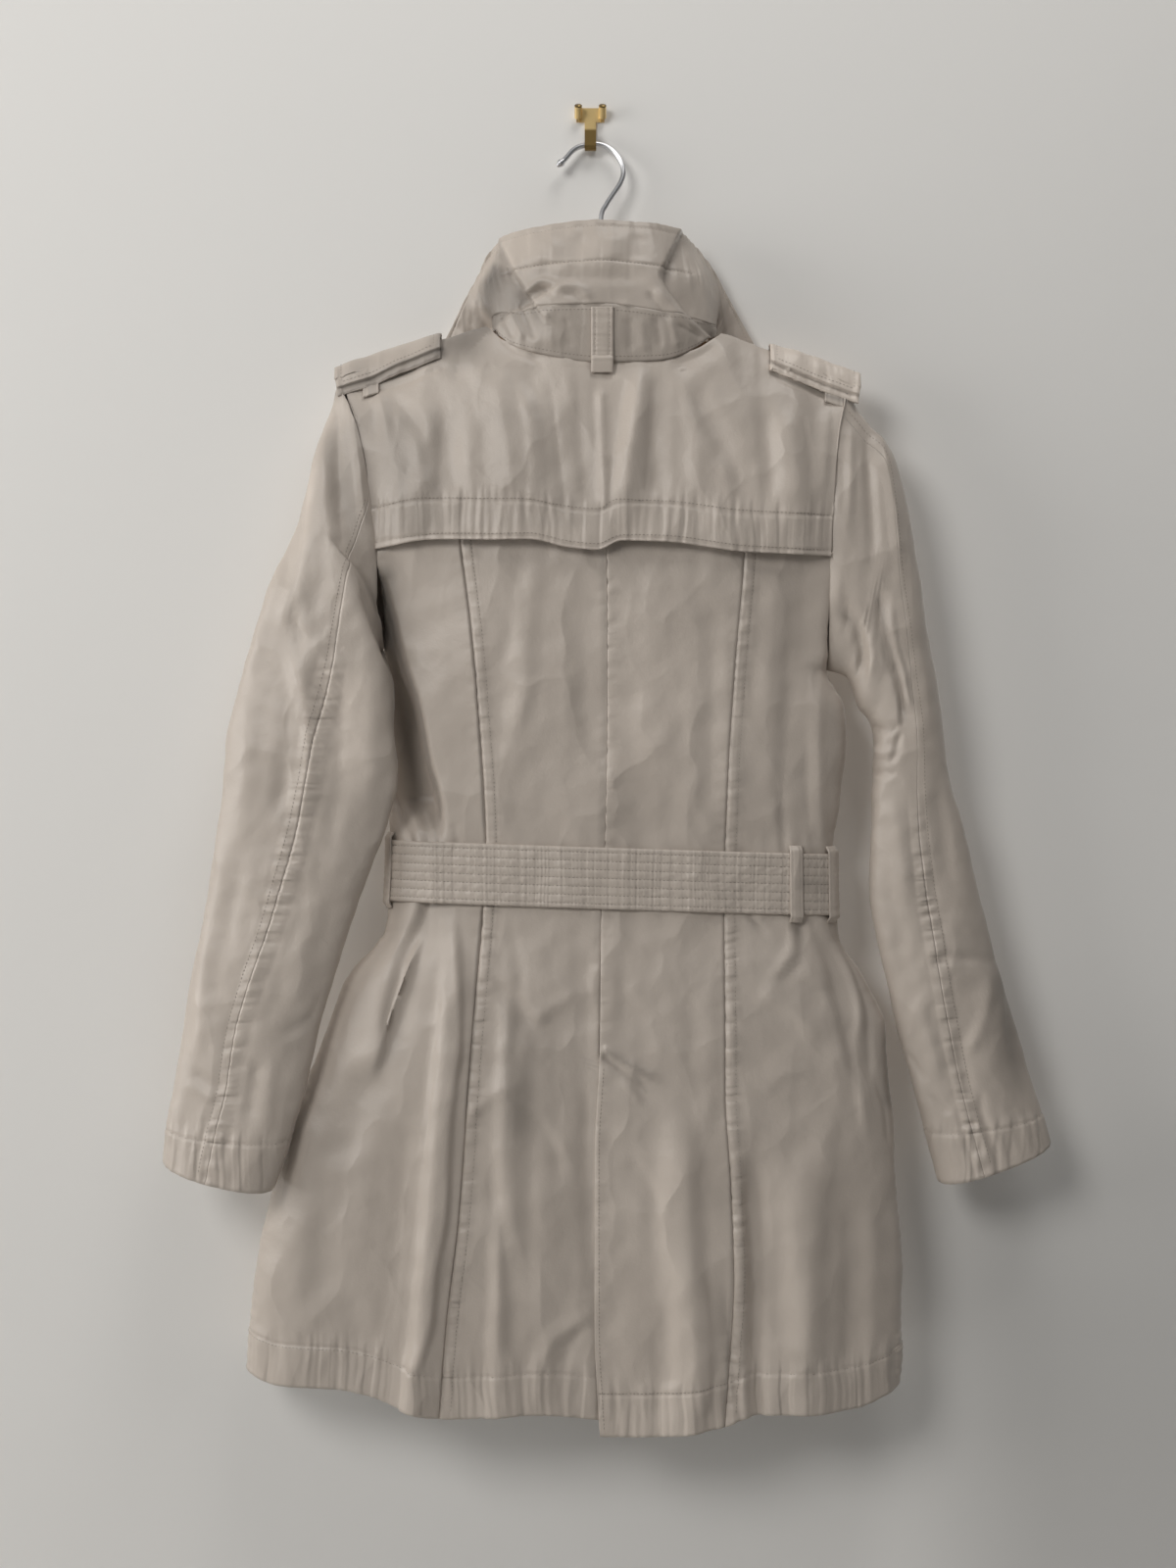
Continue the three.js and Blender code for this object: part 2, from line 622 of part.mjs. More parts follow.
// The waist's section, as a closed line: turn runs from the left side over the back to the right and on.
function waistPoint(turn, z, distance) {
  const around = (angle) => {
    const face = Math.sin(angle) >= 0 ? -1 : 1;
    return bodyPoint(-Math.sign(Math.cos(angle)) * Math.abs(Math.cos(angle)) ** (2 / bodyRound), z, face);
  };
  const along = around(turn + 0.01).sub(around(turn - 0.01));
  const normal = new THREE.Vector3(along.y, -along.x, 0).normalize();
  return around(turn).addScaledVector(normal, distance);
}

const beltLift = 1.1 + beltWall;
const loop = { width: 10, wall: 1.2, past: 6, endLift: 0.8 };

function addBelt() {
  const beltZ = (turn, v) => beltTop(waistPoint(turn, waistZ, 0).x) - beltHeight * v;
  const band = (u, v) => {
    const turn = 2 * Math.PI * u;
    return waistPoint(turn, beltZ(turn, v), beltLift);
  };
  const bandSize = { across: 72, down: 2, wall: beltWall, around: true };
  addMesh("belt", clothWallGeometry(band, bandSize), looks.cloth);

  const loopTurns = { belt_loop_side_left: 0.22, belt_loop_back_right: 2.37, belt_loop_side_right: 2.86 };
  for (const [name, turn] of Object.entries(loopTurns)) {
    const strip = (u, v) => {
      const across = loop.width * (u - 0.5);
      const nudge = 0.02;
      const here = waistPoint(turn, waistZ, 0);
      const ahead = waistPoint(turn + nudge, waistZ, 0);
      const at = turn + (across / here.distanceTo(ahead)) * nudge;
      const z = mix(beltTop(here.x) + loop.past, beltTop(here.x) - beltHeight - loop.past, v);
      const end = Math.min(v, 1 - v) * (beltHeight + 2 * loop.past);
      const lift = mix(loop.endLift, beltLift + layerGap, step(end, 0, loop.past - 1.5)) + loop.wall;
      return waistPoint(at, z, lift);
    };
    addMesh(name, clothWallGeometry(strip, { across: 2, down: 14, wall: loop.wall }), looks.cloth);
  }
}

const buckle = { x: 12, width: 58, height: 58, bar: 5, thickness: 3 };

function addBuckle() {
  const window = (buckle.width - 3 * buckle.bar) / 2;
  let frame = solidOf(box(buckle.width, buckle.thickness, buckle.height, 0, 0, 0));
  for (const way of [-1, 1]) {
    const middle = (way * (window + buckle.bar)) / 2;
    const hole = box(window, 2 * buckle.thickness, buckle.height - 2 * buckle.bar, middle, 0, 0);
    frame = frame.subtract(solidOf(hole));
  }
  const middle = beltTop(buckle.x) - beltHeight / 2;
  const beltFace = waistPoint(1.5 * Math.PI, middle, beltLift).y;
  const mesh = addMesh("belt_buckle", geometryOf(frame), looks.plastic);
  mesh.position.set(buckle.x, beltFace + layerGap + buckle.thickness / 2, middle);
}

const button = { radius: 11, thickness: 3, x: 6, heights: [-350, -480] };

function addButtons() {
  button.heights.forEach((z, i) => {
    const geometry = new THREE.CylinderGeometry(button.radius, button.radius, button.thickness, 24);
    const face = outFrom(button.x, z, 0, 1).y;
    const mesh = addMesh(`front_button_${i + 1}`, geometry, looks.plastic);
    mesh.position.set(button.x, face + layerGap + button.thickness / 2, z);
  });
}

// ---- Hanger: a bar under the shoulder line, and its wire hook
function hangerPoint(u) {
  const x = mix(hangerArm.left, hangerArm.right, u);
  return new THREE.Vector3(x, ridgeY, ridge(x) - hangerArm.drop - hangerArm.height / 2);
}

function addHanger() {
  const steps = 22;
  const sides = 10;
  const endTaper = 0.7;
  const positions = [];
  const faces = [];
  for (let i = 0; i <= steps; i++) {
    const u = i / steps;
    const centre = hangerPoint(u);
    const end = Math.min(u, 1 - u) * steps;
    const taper = end < 1 ? endTaper : 1;
    for (let k = 0; k < sides; k++) {
      const turn = (2 * Math.PI * k) / sides;
      const y = centre.y + (hangerArm.width / 2) * taper * Math.cos(turn);
      positions.push(centre.x, y, centre.z + (hangerArm.height / 2) * taper * Math.sin(turn));
    }
  }
  for (let i = 0; i < steps; i++) {
    for (let k = 0; k < sides; k++) {
      const next = (k + 1) % sides;
      const [a, b, c, d] = [i * sides + k, i * sides + next, (i + 1) * sides + next, (i + 1) * sides + k];
      faces.push(a, b, c, a, c, d);
    }
  }
  const first = positions.length / 3;
  const ends = [hangerPoint(0), hangerPoint(1)];
  ends.forEach((p, e) => {
    positions.push(p.x, p.y, p.z);
    for (let k = 0; k < sides; k++) {
      const [a, b] = [e * steps * sides + k, e * steps * sides + ((k + 1) % sides)];
      faces.push(first + e, e ? a : b, e ? b : a);
    }
  });
  const geometry = new THREE.BufferGeometry();
  geometry.setAttribute("position", new THREE.Float32BufferAttribute(positions, 3));
  geometry.setIndex(faces);
  addMesh("hanger", geometry, looks.wood);
}

// The hook hangs from the wall hook's lip, so its plane leans from there to the hanger.
const hang = { z: -23.5, y: -7, seat: -24.7 };
const hookStations = table("x z", [
  [-25, -41], [-20, -36], [-14, -29.5], [-9, -26], [-1, -23.6], [7, -23.4], [14, -27], [20.5, -33.5],
  [25, -41], [25.8, -49], [23, -57], [18, -65], [12.5, -74], [8.5, -84], [8, -110], [9, -150],
]);

function addHangerHook() {
  const stemX = 10;
  const foot = new THREE.Vector3(stemX, ridgeY, ridge(stemX) - hangerArm.drop + layerGap);
  const lean = (foot.y - hang.y) / (foot.z - hang.z);
  const points = hookStations.map(({ x, z }) => new THREE.Vector3(x, hang.y + (z - hang.z) * lean, z));
  const path = new THREE.CatmullRomCurve3([...points, foot]);
  const section = new THREE.Shape();
  section.absarc(0, 0, hookWire / 2, 0, 2 * Math.PI);
  const options = { steps: 52, curveSegments: 4, bevelEnabled: false, extrudePath: path };
  addMesh("hanger_hook", new THREE.ExtrudeGeometry(section, options), looks.steel);
}

// ---- Wall hook: a plate with two nail sleeves, and a strip that turns up into a lip
const wallHook = {
  thick: 1.2, plateWidth: 22, plateHeight: 11, plateTop: 7.5, strip: 9, stripTop: 6, lipTop: -12, ear: 2.9,
  bore: 1.25,
};
const earPlace = { x: 9.6, y: -5.5, z: 2.6, length: 9, lean: THREE.MathUtils.degToRad(35) };

function earCylinder(radius, length, way) {
  const geometry = new THREE.CylinderGeometry(radius, radius, length, 20);
  geometry.rotateX(Math.PI / 2 + earPlace.lean);
  return geometry.translate(way * earPlace.x, earPlace.y, earPlace.z);
}

function addWallHook() {
  const inner = hookWire / 2 + 0.4;
  const outer = inner + wallHook.thick;
  const lip = new THREE.Shape();
  lip.moveTo(hang.y - outer, wallHook.lipTop);
  lip.lineTo(hang.y - outer, hang.seat);
  lip.absarc(hang.y, hang.seat, outer, Math.PI, 2 * Math.PI);
  lip.lineTo(0, hang.seat);
  lip.lineTo(0, wallHook.stripTop);
  lip.lineTo(-wallHook.thick, wallHook.stripTop);
  lip.lineTo(-wallHook.thick, hang.seat + wallHook.stripTop);
  lip.lineTo(hang.y + inner, hang.seat);
  lip.absarc(hang.y, hang.seat, inner, 0, Math.PI, true);
  lip.lineTo(hang.y - inner, wallHook.lipTop);
  const bent = { depth: wallHook.strip, curveSegments: 8, bevelEnabled: false };
  const strip = new THREE.ExtrudeGeometry(lip, bent);
  strip.rotateX(Math.PI / 2);
  strip.rotateZ(Math.PI / 2);
  strip.translate(-wallHook.strip / 2, 0, 0);
  const plateMiddle = wallHook.plateTop - wallHook.plateHeight / 2;
  const plate = box(wallHook.plateWidth, wallHook.thick, wallHook.plateHeight, 0, -wallHook.thick / 2, 0);
  let solid = solidOf(plate.translate(0, 0, plateMiddle)).add(solidOf(strip));
  for (const way of [-1, 1]) {
    solid = solid.add(solidOf(earCylinder(wallHook.ear, earPlace.length, way)));
    const foot = box(3, 3, 5, way * earPlace.x, -1.5, -0.5);
    solid = solid.add(solidOf(foot));
  }
  for (const way of [-1, 1]) solid = solid.subtract(solidOf(earCylinder(wallHook.bore, 30, way)));
  addMesh("wall_hook", geometryOf(solid), looks.brass);
}

const nail = { radius: 0.95, head: 3, end: -1.5 };

function addNails() {
  const headGap = 0.3;
  for (const [name, way] of [["hook_nail_left", -1], ["hook_nail_right", 1]]) {
    const top = earPlace.length / 2 + headGap;
    const profile = table("radius height", [
      [0, nail.end], [nail.radius, nail.end], [nail.radius, top], [nail.head, top], [nail.head, top + 0.8],
      [nail.head - 0.8, top + 1.4], [0, top + 1.4],
    ]);
    const line = profile.map(({ radius, height }) => new THREE.Vector2(radius, height));
    const geometry = new THREE.LatheGeometry(line, 20);
    geometry.rotateX(Math.PI / 2 + earPlace.lean);
    addMesh(name, geometry, looks.brass).position.set(way * earPlace.x, earPlace.y, earPlace.z);
  }
}

addBack();
addFronts();
addMesh("storm_flap", clothWallGeometry(flapPoint, { across: 26, down: 8 }), looks.cloth);
addSleeves();
addCollar();
addEpaulettes();
addHangerTab();
addBelt();
addBuckle();
addButtons();
addHanger();
addHangerHook();
addWallHook();
addNails();

export default coat;
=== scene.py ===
import math
import bpy
import numpy as np
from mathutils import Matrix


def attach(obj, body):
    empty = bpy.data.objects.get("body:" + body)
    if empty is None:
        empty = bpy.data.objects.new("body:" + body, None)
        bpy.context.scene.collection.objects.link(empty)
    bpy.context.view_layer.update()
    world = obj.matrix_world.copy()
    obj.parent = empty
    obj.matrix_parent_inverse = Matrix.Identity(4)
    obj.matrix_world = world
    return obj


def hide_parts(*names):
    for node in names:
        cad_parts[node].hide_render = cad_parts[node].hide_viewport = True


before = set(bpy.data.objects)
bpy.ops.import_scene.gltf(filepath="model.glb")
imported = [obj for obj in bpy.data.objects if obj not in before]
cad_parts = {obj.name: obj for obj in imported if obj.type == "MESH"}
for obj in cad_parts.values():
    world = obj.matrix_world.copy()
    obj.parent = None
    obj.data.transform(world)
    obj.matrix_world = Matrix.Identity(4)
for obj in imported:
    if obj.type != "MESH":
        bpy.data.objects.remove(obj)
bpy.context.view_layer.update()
print("frame loaded")

# Tables are in millimetres and meshes in metres. +X is to the right on the wall, +Y into it, +Z up.
mm = 0.001
# The viewing point, the depth of the back's plane, and the depth where the painted shade and highlight lines end.
eye = {"x": -1.9, "y": -1560, "z": -530, "plane": -60, "front": -16, "fade": 12}


def table(names, rows):
    return dict(zip(names.split(), np.array(rows, float).T))


def mix(a, b, t):
    return a + (b - a) * t


# A soft step, 3 t squared less 2 t cubed, from 0 at low to 1 at high.
def step(x, low, high):
    t = np.clip((x - low) / (high - low), 0, 1)
    return t * t * (3 - 2 * t)


# Cubic pieces through a table's rows: each slope is the harmonic mean of the rises beside it, so the line
# never overshoots, and it stays level past both ends.
def curve(rows, key, name):
    order = np.argsort(rows[key])
    at, value = rows[key][order], rows[name][order]
    rise = np.diff(value) / np.diff(at)
    product, total = rise[:-1] * rise[1:], rise[:-1] + rise[1:]
    inner = np.where(product > 0, 2 * product / np.where(total == 0, 1, total), 0)
    slope = np.concatenate([rise[:1], inner, rise[-1:]])

    def read(x):
        x = np.clip(x, at[0], at[-1])
        i = np.clip(np.searchsorted(at, x, side="right") - 1, 0, len(at) - 2)
        h = at[i + 1] - at[i]
        t = (x - at[i]) / h
        line = value[i] + (value[i + 1] - value[i]) * t * t * (3 - 2 * t)
        return line + h * t * (1 - t) * ((1 - t) * slope[i] - t * slope[i + 1])

    return read


def through(names, rows):
    return curve(table(names, rows), *names.split())


# Where a point shows on the plane of the back, seen from the viewing point.
def seen(p):
    scale = (eye["plane"] - eye["y"]) / (p[..., 1] - eye["y"])
    return eye["x"] + (p[..., 0] - eye["x"]) * scale, eye["z"] + (p[..., 2] - eye["z"]) * scale


# A smooth line through a fold's places: cubic pieces whose slopes join the neighbours on both sides.
def flowing(line, parts=4):
    p = np.array(line, float)
    if len(p) < 3:
        return p
    ends = np.vstack([2 * p[0] - p[1], p, 2 * p[-1] - p[-2]])
    a, b, c, d = ends[:-3], ends[1:-2], ends[2:-1], ends[3:]
    t = (np.arange(parts) / parts)[None, :, None]
    a, b, c, d = (q[:, None, :] for q in (a, b, c, d))
    bend = b + 0.5 * t * (c - a + t * (2 * a - 5 * b + 4 * c - d + t * (3 * (b - c) + d - a)))
    return np.vstack([bend.reshape(-1, 2), p[-1:]])


# Height of the folds at (x, z): each adds rise * fade along its line * profile across it. The profile goes
# from 1 on the line to 0 at the flank's width: half a bell and half a tent at sharp 0, keen at sharp 1.
# Right is the right side of a line that runs down, and the upper side of one that runs to the right.
def foldHeight(rows, x, z):
    height = np.zeros(x.shape)
    for rise, left, right, sharp, fadeIn, fadeOut, places in rows:
        line = flowing(places)
        reach = max(left, right)
        low, high = line.min(0) - reach, line.max(0) + reach
        near = (x > low[0]) & (x < high[0]) & (z > low[1]) & (z < high[1])
        if not near.any():
            continue
        px, pz = x[near], z[near]
        steps = np.diff(line, axis=0)
        lengths = np.hypot(steps[:, 0], steps[:, 1])
        starts = np.concatenate([[0], np.cumsum(lengths)])
        best = np.full(px.shape, np.inf)
        along = np.zeros(px.shape)
        toRight = np.zeros(px.shape, bool)
        for (ax, az), (dx, dz), length, start in zip(line, steps, lengths, starts):
            t = np.clip(((px - ax) * dx + (pz - az) * dz) / length**2, 0, 1)
            away = np.hypot(px - ax - t * dx, pz - az - t * dz)
            closer = away < best
            best = np.where(closer, away, best)
            along = np.where(closer, start + t * length, along)
            toRight = np.where(closer, (pz - az) * dx > (px - ax) * dz, toRight)
        q = np.clip(best / np.where(toRight, right, left), 0, 1)
        tent = np.clip((1 - np.sqrt(q * q + 0.01)) / 0.9, 0, 1)
        profile = mix(mix((1 - q * q) ** 2, tent, 0.5), (1 - q) ** 2, sharp)
        t = along / starts[-1]
        fade = (step(t, 0, fadeIn) if fadeIn else 1) * (1 - step(t, 1 - fadeOut, 1) if fadeOut else 1)
        height[near] += rise * fade * profile
    return height


ripple = {"turn": 6.28, "count": 6, "stretch": (0.7, 1.6), "bend": 1.2, "beside": 3.7, "crisp": 0.95, "share": 3.8}


# Slow unevenness between -1 and 1: bent waves of about one size that run in several directions. The arc sine
# makes their flanks nearly straight, as a crisp cloth's are.
def unevenness(x, z, size, seed):
    rng = np.random.default_rng(int(seed * 10))
    total = np.zeros(x.shape)
    turns, phases = (rng.uniform(0, ripple["turn"], ripple["count"]) for part in range(2))
    for turn, phase, stretch in zip(turns, phases, rng.uniform(*ripple["stretch"], ripple["count"])):
        along, beside = x * math.cos(turn) + z * math.sin(turn), z * math.cos(turn) - x * math.sin(turn)
        bend = ripple["bend"] * np.sin(beside * ripple["beside"] / size + 2 * phase)
        total += np.arcsin(ripple["crisp"] * np.sin(along * ripple["turn"] / (size * stretch) + phase + bend))
    return total / ripple["share"]


# A piece's unevenness: rows of rise, how much z is squeezed, size and seed, added up.
def uneven(x, z, rows):
    return sum(rise * unevenness(x, z * squeeze, size, seed) for rise, squeeze, size, seed in rows)


# Gathers along a seam: two sines whose phase and height wander, so that no two are alike and some fade out.
def gathers(along, pitch, seed):
    wander = 2.2 * np.sin(along / (pitch * 2.3) + seed) + 1.5 * np.sin(along / (pitch * 1.37) + 2.1 * seed)
    height = 0.6 + 0.4 * np.sin(along / (pitch * 1.9) + 1.7 * seed)
    finer = 0.5 - 0.5 * np.sin(along / (pitch * 1.3) + 0.6 * seed)
    wave = np.sin(ripple["turn"] * along / pitch + wander) * height
    return wave + 0.6 * np.sin(ripple["turn"] * along / (pitch * 0.62) + 1.7 * wander) * finer


# A bell: e to the minus square of the distance from the middle over the width.
def bump(x, middle, width):
    return np.exp(-(((x - middle) / width) ** 2))


# Strength of a band's gathers at a height over its stitched line: above the line it fades, and below the line
# it falls by a share.
def bandStrength(over, above, below, share):
    return np.where(over > 0, bump(over, 0, above), 1 - share + share * bump(over, 0, below))


# Surface of a piece: its base form, moved out along the base's own normal by the relief. The normal comes
# from small steps of u and v.
def relieved(base, relief, outward=1):
    def normal(u, v):
        e = 1e-4
        across = base(np.minimum(u + e, 1), v) - base(np.maximum(u - e, 0), v)
        down = base(u, np.minimum(v + e, 1)) - base(u, np.maximum(v - e, 0))
        n = np.cross(down, across)
        return outward * n / np.maximum(np.linalg.norm(n, axis=-1, keepdims=True), 1e-12)

    def surface(u, v):
        p = base(u, v)
        return p + normal(u, v) * relief(p, u, v)[..., None]

    surface.normal = normal
    return surface


# Places from 0 to 1 that crowd round some spots: equal parts of a density that is 1 plus a peak at each.
def spaced(count, spots=(), near=0.02, gain=3.0):
    t = np.linspace(0, 1, 2001)
    density = 1 + sum(gain * bump(t, spot, near) for spot in spots) if spots else np.ones(t.shape)
    total = np.concatenate([[0], np.cumsum((density[1:] + density[:-1]) / 2)])
    return np.interp(np.linspace(0, 1, count), total / total[-1], t)


def finishPiece(name, vertices, faces, material, uv=None, wall=0.7):
    mesh = bpy.data.meshes.new(name)
    mesh.from_pydata((vertices * mm).tolist(), [], faces.tolist())
    if uv is not None:
        layer = mesh.uv_layers.new(name="cut")
        layer.data.foreach_set("uv", uv[faces.ravel()].ravel())
    mesh.polygons.foreach_set("use_smooth", np.ones(len(mesh.polygons), bool))
    mesh.materials.append(material)
    mesh.update()
    piece = bpy.data.objects.new(name, mesh)
    bpy.context.scene.collection.objects.link(piece)
    if wall:
        thick = piece.modifiers.new("cloth thickness", "SOLIDIFY")
        thick.thickness = wall * mm
        thick.offset = -1
        thick.use_even_offset = False
    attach(piece, "root")
    return piece


# Painted shade and painted highlights on the cloth: painted shade in deep folds, recesses and along seams
# (first column over 0), painted highlights on lit ridges (under 0).
# Columns: rise, left and right width, sharpness, fade in, fade out, places (x, z) from top to bottom.
paintedShadeLines = [
    (0.44, 14, 12, 0, 0, 0.5, [(-158, -372), (-150, -440), (-143, -485), (-134, -530), (-126, -574)]),
    (0.16, 16, 20, 0, 0.3, 0, [(-149, -455), (-140, -500), (-131, -545), (-122, -574)]),
    (0.34, 22, 12, 0, 0.5, 0.35, [(298, -598), (306, -639), (315, -680), (321, -718), (330, -768), (336, -800)]),
    (0.14, 10, 14, 0, 0.2, 0.2, [(-189, -238), (-186, -282), (-183, -328), (-173, -365)]),
    (0.12, 12, 16, 0, 0.2, 0.3, [(-212, -702), (-227, -725), (-236, -755)]),
    (0.16, 8, 8, 0, 0, 0, [(162, -607), (175, -607)]),
    (0.38, 9, 8, 0, 0.2, 0.2, [(228, -710), (229, -785)]),
    (0.12, 8, 10, 0.2, 0.1, 0.2, [(187, -642), (204, -680), (213, -718), (216, -762)]),
    (0.09, 10, 6, 0, 0.2, 0.2, [(-2, -822), (0, -935)]),
    (0.08, 16, 12, 0, 0.3, 0.2, [(103, -912), (106, -965), (103, -1018)]),
    (0.06, 18, 20, 0, 0.3, 0.2, [(133, -778), (132, -845), (138, -928)]),
    (0.08, 30, 26, 0, 0.3, 0.3, [(-32, -688), (-47, -755), (-54, -830)]),
    (0.1, 22, 22, 0, 0.3, 0.3, [(-149, -688), (-155, -725), (-164, -762), (-177, -800)]),
    (-0.12, 60, 50, 0, 0.3, 0.3, [(66, -380), (66, -455), (66, -560)]),
    (-0.12, 60, 50, 0, 0.3, 0, [(61, -762), (63, -890), (58, -1025)]),
    (-0.2, 40, 30, 0, 0.3, 0.3, [(-174, -425), (-177, -485), (-189, -545)]),
    (0.16, 60, 50, 0, 0.3, 0, [(-182, -740), (-197, -830), (-204, -920), (-204, -1002)]),
    (0.26, 34, 2.5, 0.1, 0, 0, [(-75, -108), (-66, -125), (-59, -139), (-47, -156)]),
    (0.5, 34, 26, 0, 0.1, 0, [(-80, -126), (-90, -155), (-98, -192)]),
    (0.08, 14, 14, 0, 0.2, 0.2, [(-24, -152), (7, -154), (43, -152)]),
    (0.16, 16, 16, 0, 0.2, 0.2, [(-74, -132), (-77, -162), (-83, -189)]),
    (0.24, 60, 50, 0, 0.2, 0.1, [(-143, -234), (-144, -282), (-137, -346)]),
    (0.09, 50, 60, 0, 0.2, 0.1, [(-9, -230), (-11, -282), (-8, -339)]),
    (-0.05, 60, 60, 0, 0.2, 0.2, [(115, -252), (121, -290), (124, -335)]),
    (0.1, 60, 50, 0, 0.2, 0.1, [(-54, -230), (-54, -282), (-54, -339)]),
    (0.34, 2.4, 2.4, 0.3, 0.02, 0.1, [
        (-100, -347), (-97, -365), (-94, -388), (-92, -410), (-89, -440), (-87, -455), (-81, -576),
    ]),
    (0.34, 2.4, 2.4, 0.3, 0, 0.1, [(-83, -626), (-87, -668), (-90, -724), (-97, -796)]),
    (0.16, 2.2, 2.2, 0.3, 0.1, 0, [
        (-97, -796), (-100, -857), (-105, -900), (-108, -936), (-111, -972), (-114, -1010),
    ]),
    (0.16, 2.4, 2.4, 0.3, 0, 0, [
        (117, -358), (116, -387), (111, -438), (108, -481), (107, -508), (105, -541), (103, -580),
    ]),
    (0.18, 2.4, 2.4, 0.3, 0, 0, [
        (103, -630), (103, -700), (103, -768), (105, -796), (107, -834), (108, -905), (106, -946), (102, -1022),
    ]),
    (0.16, 5, 2, 0.3, 0, 0, [(10, -354), (11, -455), (9, -575)]),
    (0.06, 6, 2, 0.3, 0, 0, [(7, -632), (6, -688), (6, -730)]),
    (0.18, 6, 2, 0.3, 0.05, 0, [(5, -736), (3, -755), (1, -815), (1, -868), (2, -940), (5, -1010)]),
    (0.22, 4, 6, 0.4, 0.1, 0.3, [(9, -735), (22, -741), (37, -749), (55, -760)]),
    (0.2, 3, 4, 0.4, 0.3, 0.2, [(28, -750), (36, -756), (44, -768)]),
    (-0.12, 4, 4, 0.2, 0.1, 0.1, [
        (-185, -352), (-200, -446), (-212, -504), (-229, -586), (-243, -622), (-264, -692), (-279, -750),
        (-285, -797),
    ]),
    (0.26, 6, 6, 0.2, 0, 0, [(-194, -232), (-168, -223), (-149, -215), (-132, -208), (-113, -201)]),
    (0.34, 3, 3, 0.3, 0, 0, [(-192, -227), (-168, -220), (-150, -210), (-114, -197)]),
    (0.38, 3, 3, 0.3, 0, 0, [(138, -207), (156, -214), (180, -225), (205, -232)]),
    (0.34, 3, 3, 0.3, 0, 0, [(138, -215), (157, -223), (179, -232), (204, -239)]),
    (0.1, 22, 24, 0, 0.2, 0.2, [(-198, -252), (-198, -290), (-194, -335)]),
    (0.12, 26, 26, 0, 0.2, 0.2, [(-47, -688), (-62, -740), (-47, -815)]),
    (-0.1, 3, 4, 0.2, 0.1, 0.1, [(-70, -114), (-63, -126), (-57, -139)]),
    (0.18, 30, 2.5, 0.1, 0, 0, [(-38, -155), (-50, -161), (-62, -168), (-78, -184)]),
    (0.05, 2.5, 40, 0.1, 0, 0, [(76, -96), (66, -118), (56, -138), (58, -148), (67, -160), (78, -172), (94, -188)]),
    (0.14, 4, 10, 0.3, 0.2, 0.2, [(220, -383), (229, -428), (237, -455), (240, -492)]),
    (0.16, 3, 8, 0.3, 0.1, 0.2, [(186, -395), (196, -402), (204, -422), (204, -448)]),
    (-0.22, 4, 6, 0.4, 0.3, 0.3, [(-210, -268), (-216, -312), (-220, -350), (-225, -384), (-231, -410)]),
    (-0.18, 4, 6, 0.4, 0.3, 0.3, [
        (-227, -422), (-224, -443), (-218, -467), (-216, -500), (-220, -530), (-227, -562),
    ]),
    (-0.09, 7, 4, 0.3, 0.1, 0.1, [
        (-105, -628), (-102, -680), (-102, -730), (-108, -781), (-113, -864), (-122, -920), (-131, -969),
        (-140, -1008),
    ]),
    (-0.05, 2, 12, 0.2, 0.1, 0.1, [(12, -354), (13, -455), (12, -575)]),
    (-0.05, 2, 12, 0.2, 0.1, 0.1, [(10, -634), (9, -688), (9, -728)]),
    (-0.06, 8, 8, 0.2, 0.2, 0.2, [(8, -224), (9, -268), (11, -322)]),
    (-0.08, 8, 8, 0.2, 0.2, 0.2, [(39, -208), (34, -245), (26, -312)]),
    (-0.08, 8, 7, 0.3, 0.3, 0.2, [(183, -410), (178, -455), (177, -500), (180, -560)]),
    (-0.07, 10, 10, 0.2, 0.3, 0.3, [(-298, -672), (-300, -718), (-302, -751)]),
    (-0.07, 14, 12, 0.1, 0.3, 0.2, [(82, -905), (87, -942), (85, -995)]),
]


cloth, surfaces, thread = {}, {}, {}


# A piece of cloth from surface(u, v) on a grid of places across and down. outward is 1 where u runs to the
# left of someone inside the garment. light is painted light or shade over the whole piece, and the painted
# shade and highlight lines change it from place to place. tucks(p, u, v) says where fine tucks lie side by side
# and where they follow each other down a seam.
def clothPiece(name, surface, across, down, outward=1, around=False, wall=0.7, light=1.0, tucks=None):
    us = across[:-1] if around else across
    u, v = np.meshgrid(us, down)
    p = surface(u, v)
    rows, columns = u.shape
    i = np.arange(rows * columns).reshape(rows, columns)
    j = np.concatenate([i, i[:, :1]], axis=1) if around else i
    faces = np.stack([j[:-1, :-1], j[1:, :-1], j[1:, 1:], j[:-1, 1:]], axis=-1).reshape(-1, 4)
    if outward < 0:
        faces = faces[:, ::-1]
    lengths = np.linalg.norm(np.diff(p, axis=0), axis=-1).mean(1)
    width = np.linalg.norm(np.diff(p, axis=1), axis=-1).sum(1).mean()
    fall = np.concatenate([[0], np.cumsum(lengths)])
    uv = np.stack([u * width * mm, 1 - np.broadcast_to(fall[:, None], u.shape) * mm], axis=-1)
    piece = finishPiece(name, p.reshape(-1, 3), faces, clothLook, uv.reshape(-1, 2), wall)
    # The shade attribute holds painted light and shade: the piece's light less the painted shade lines, in front of a
    # depth.
    tone = piece.data.attributes.new("shade", "FLOAT", "POINT")
    dark = foldHeight(paintedShadeLines, *seen(p)) * step(eye["front"] - p[..., 1], 0, eye["fade"])
    tone.data.foreach_set("value", (light - dark).astype(np.float32).ravel())
    depths = tucks(p, u, v) if tucks else (0, 0)
    for title, depth in zip(("tucksAcross", "tucksDown"), depths):
        layer = piece.data.attributes.new(title, "FLOAT", "POINT")
        layer.data.foreach_set("value", np.broadcast_to(depth, u.shape).astype(np.float32).ravel())
    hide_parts(name)
    cloth[name], surfaces[name] = piece, surface


stitch = {
    "pitch": 3.0, "length": 2.0, "width": 0.42, "rise": 0.22, "dip": -0.1, "narrow": 0.5, "over": 0.16, "under": 0.2,
}


def readAt(places, run, values):
    return np.stack([np.interp(places, run, values[:, axis]) for axis in range(3)], axis=-1)


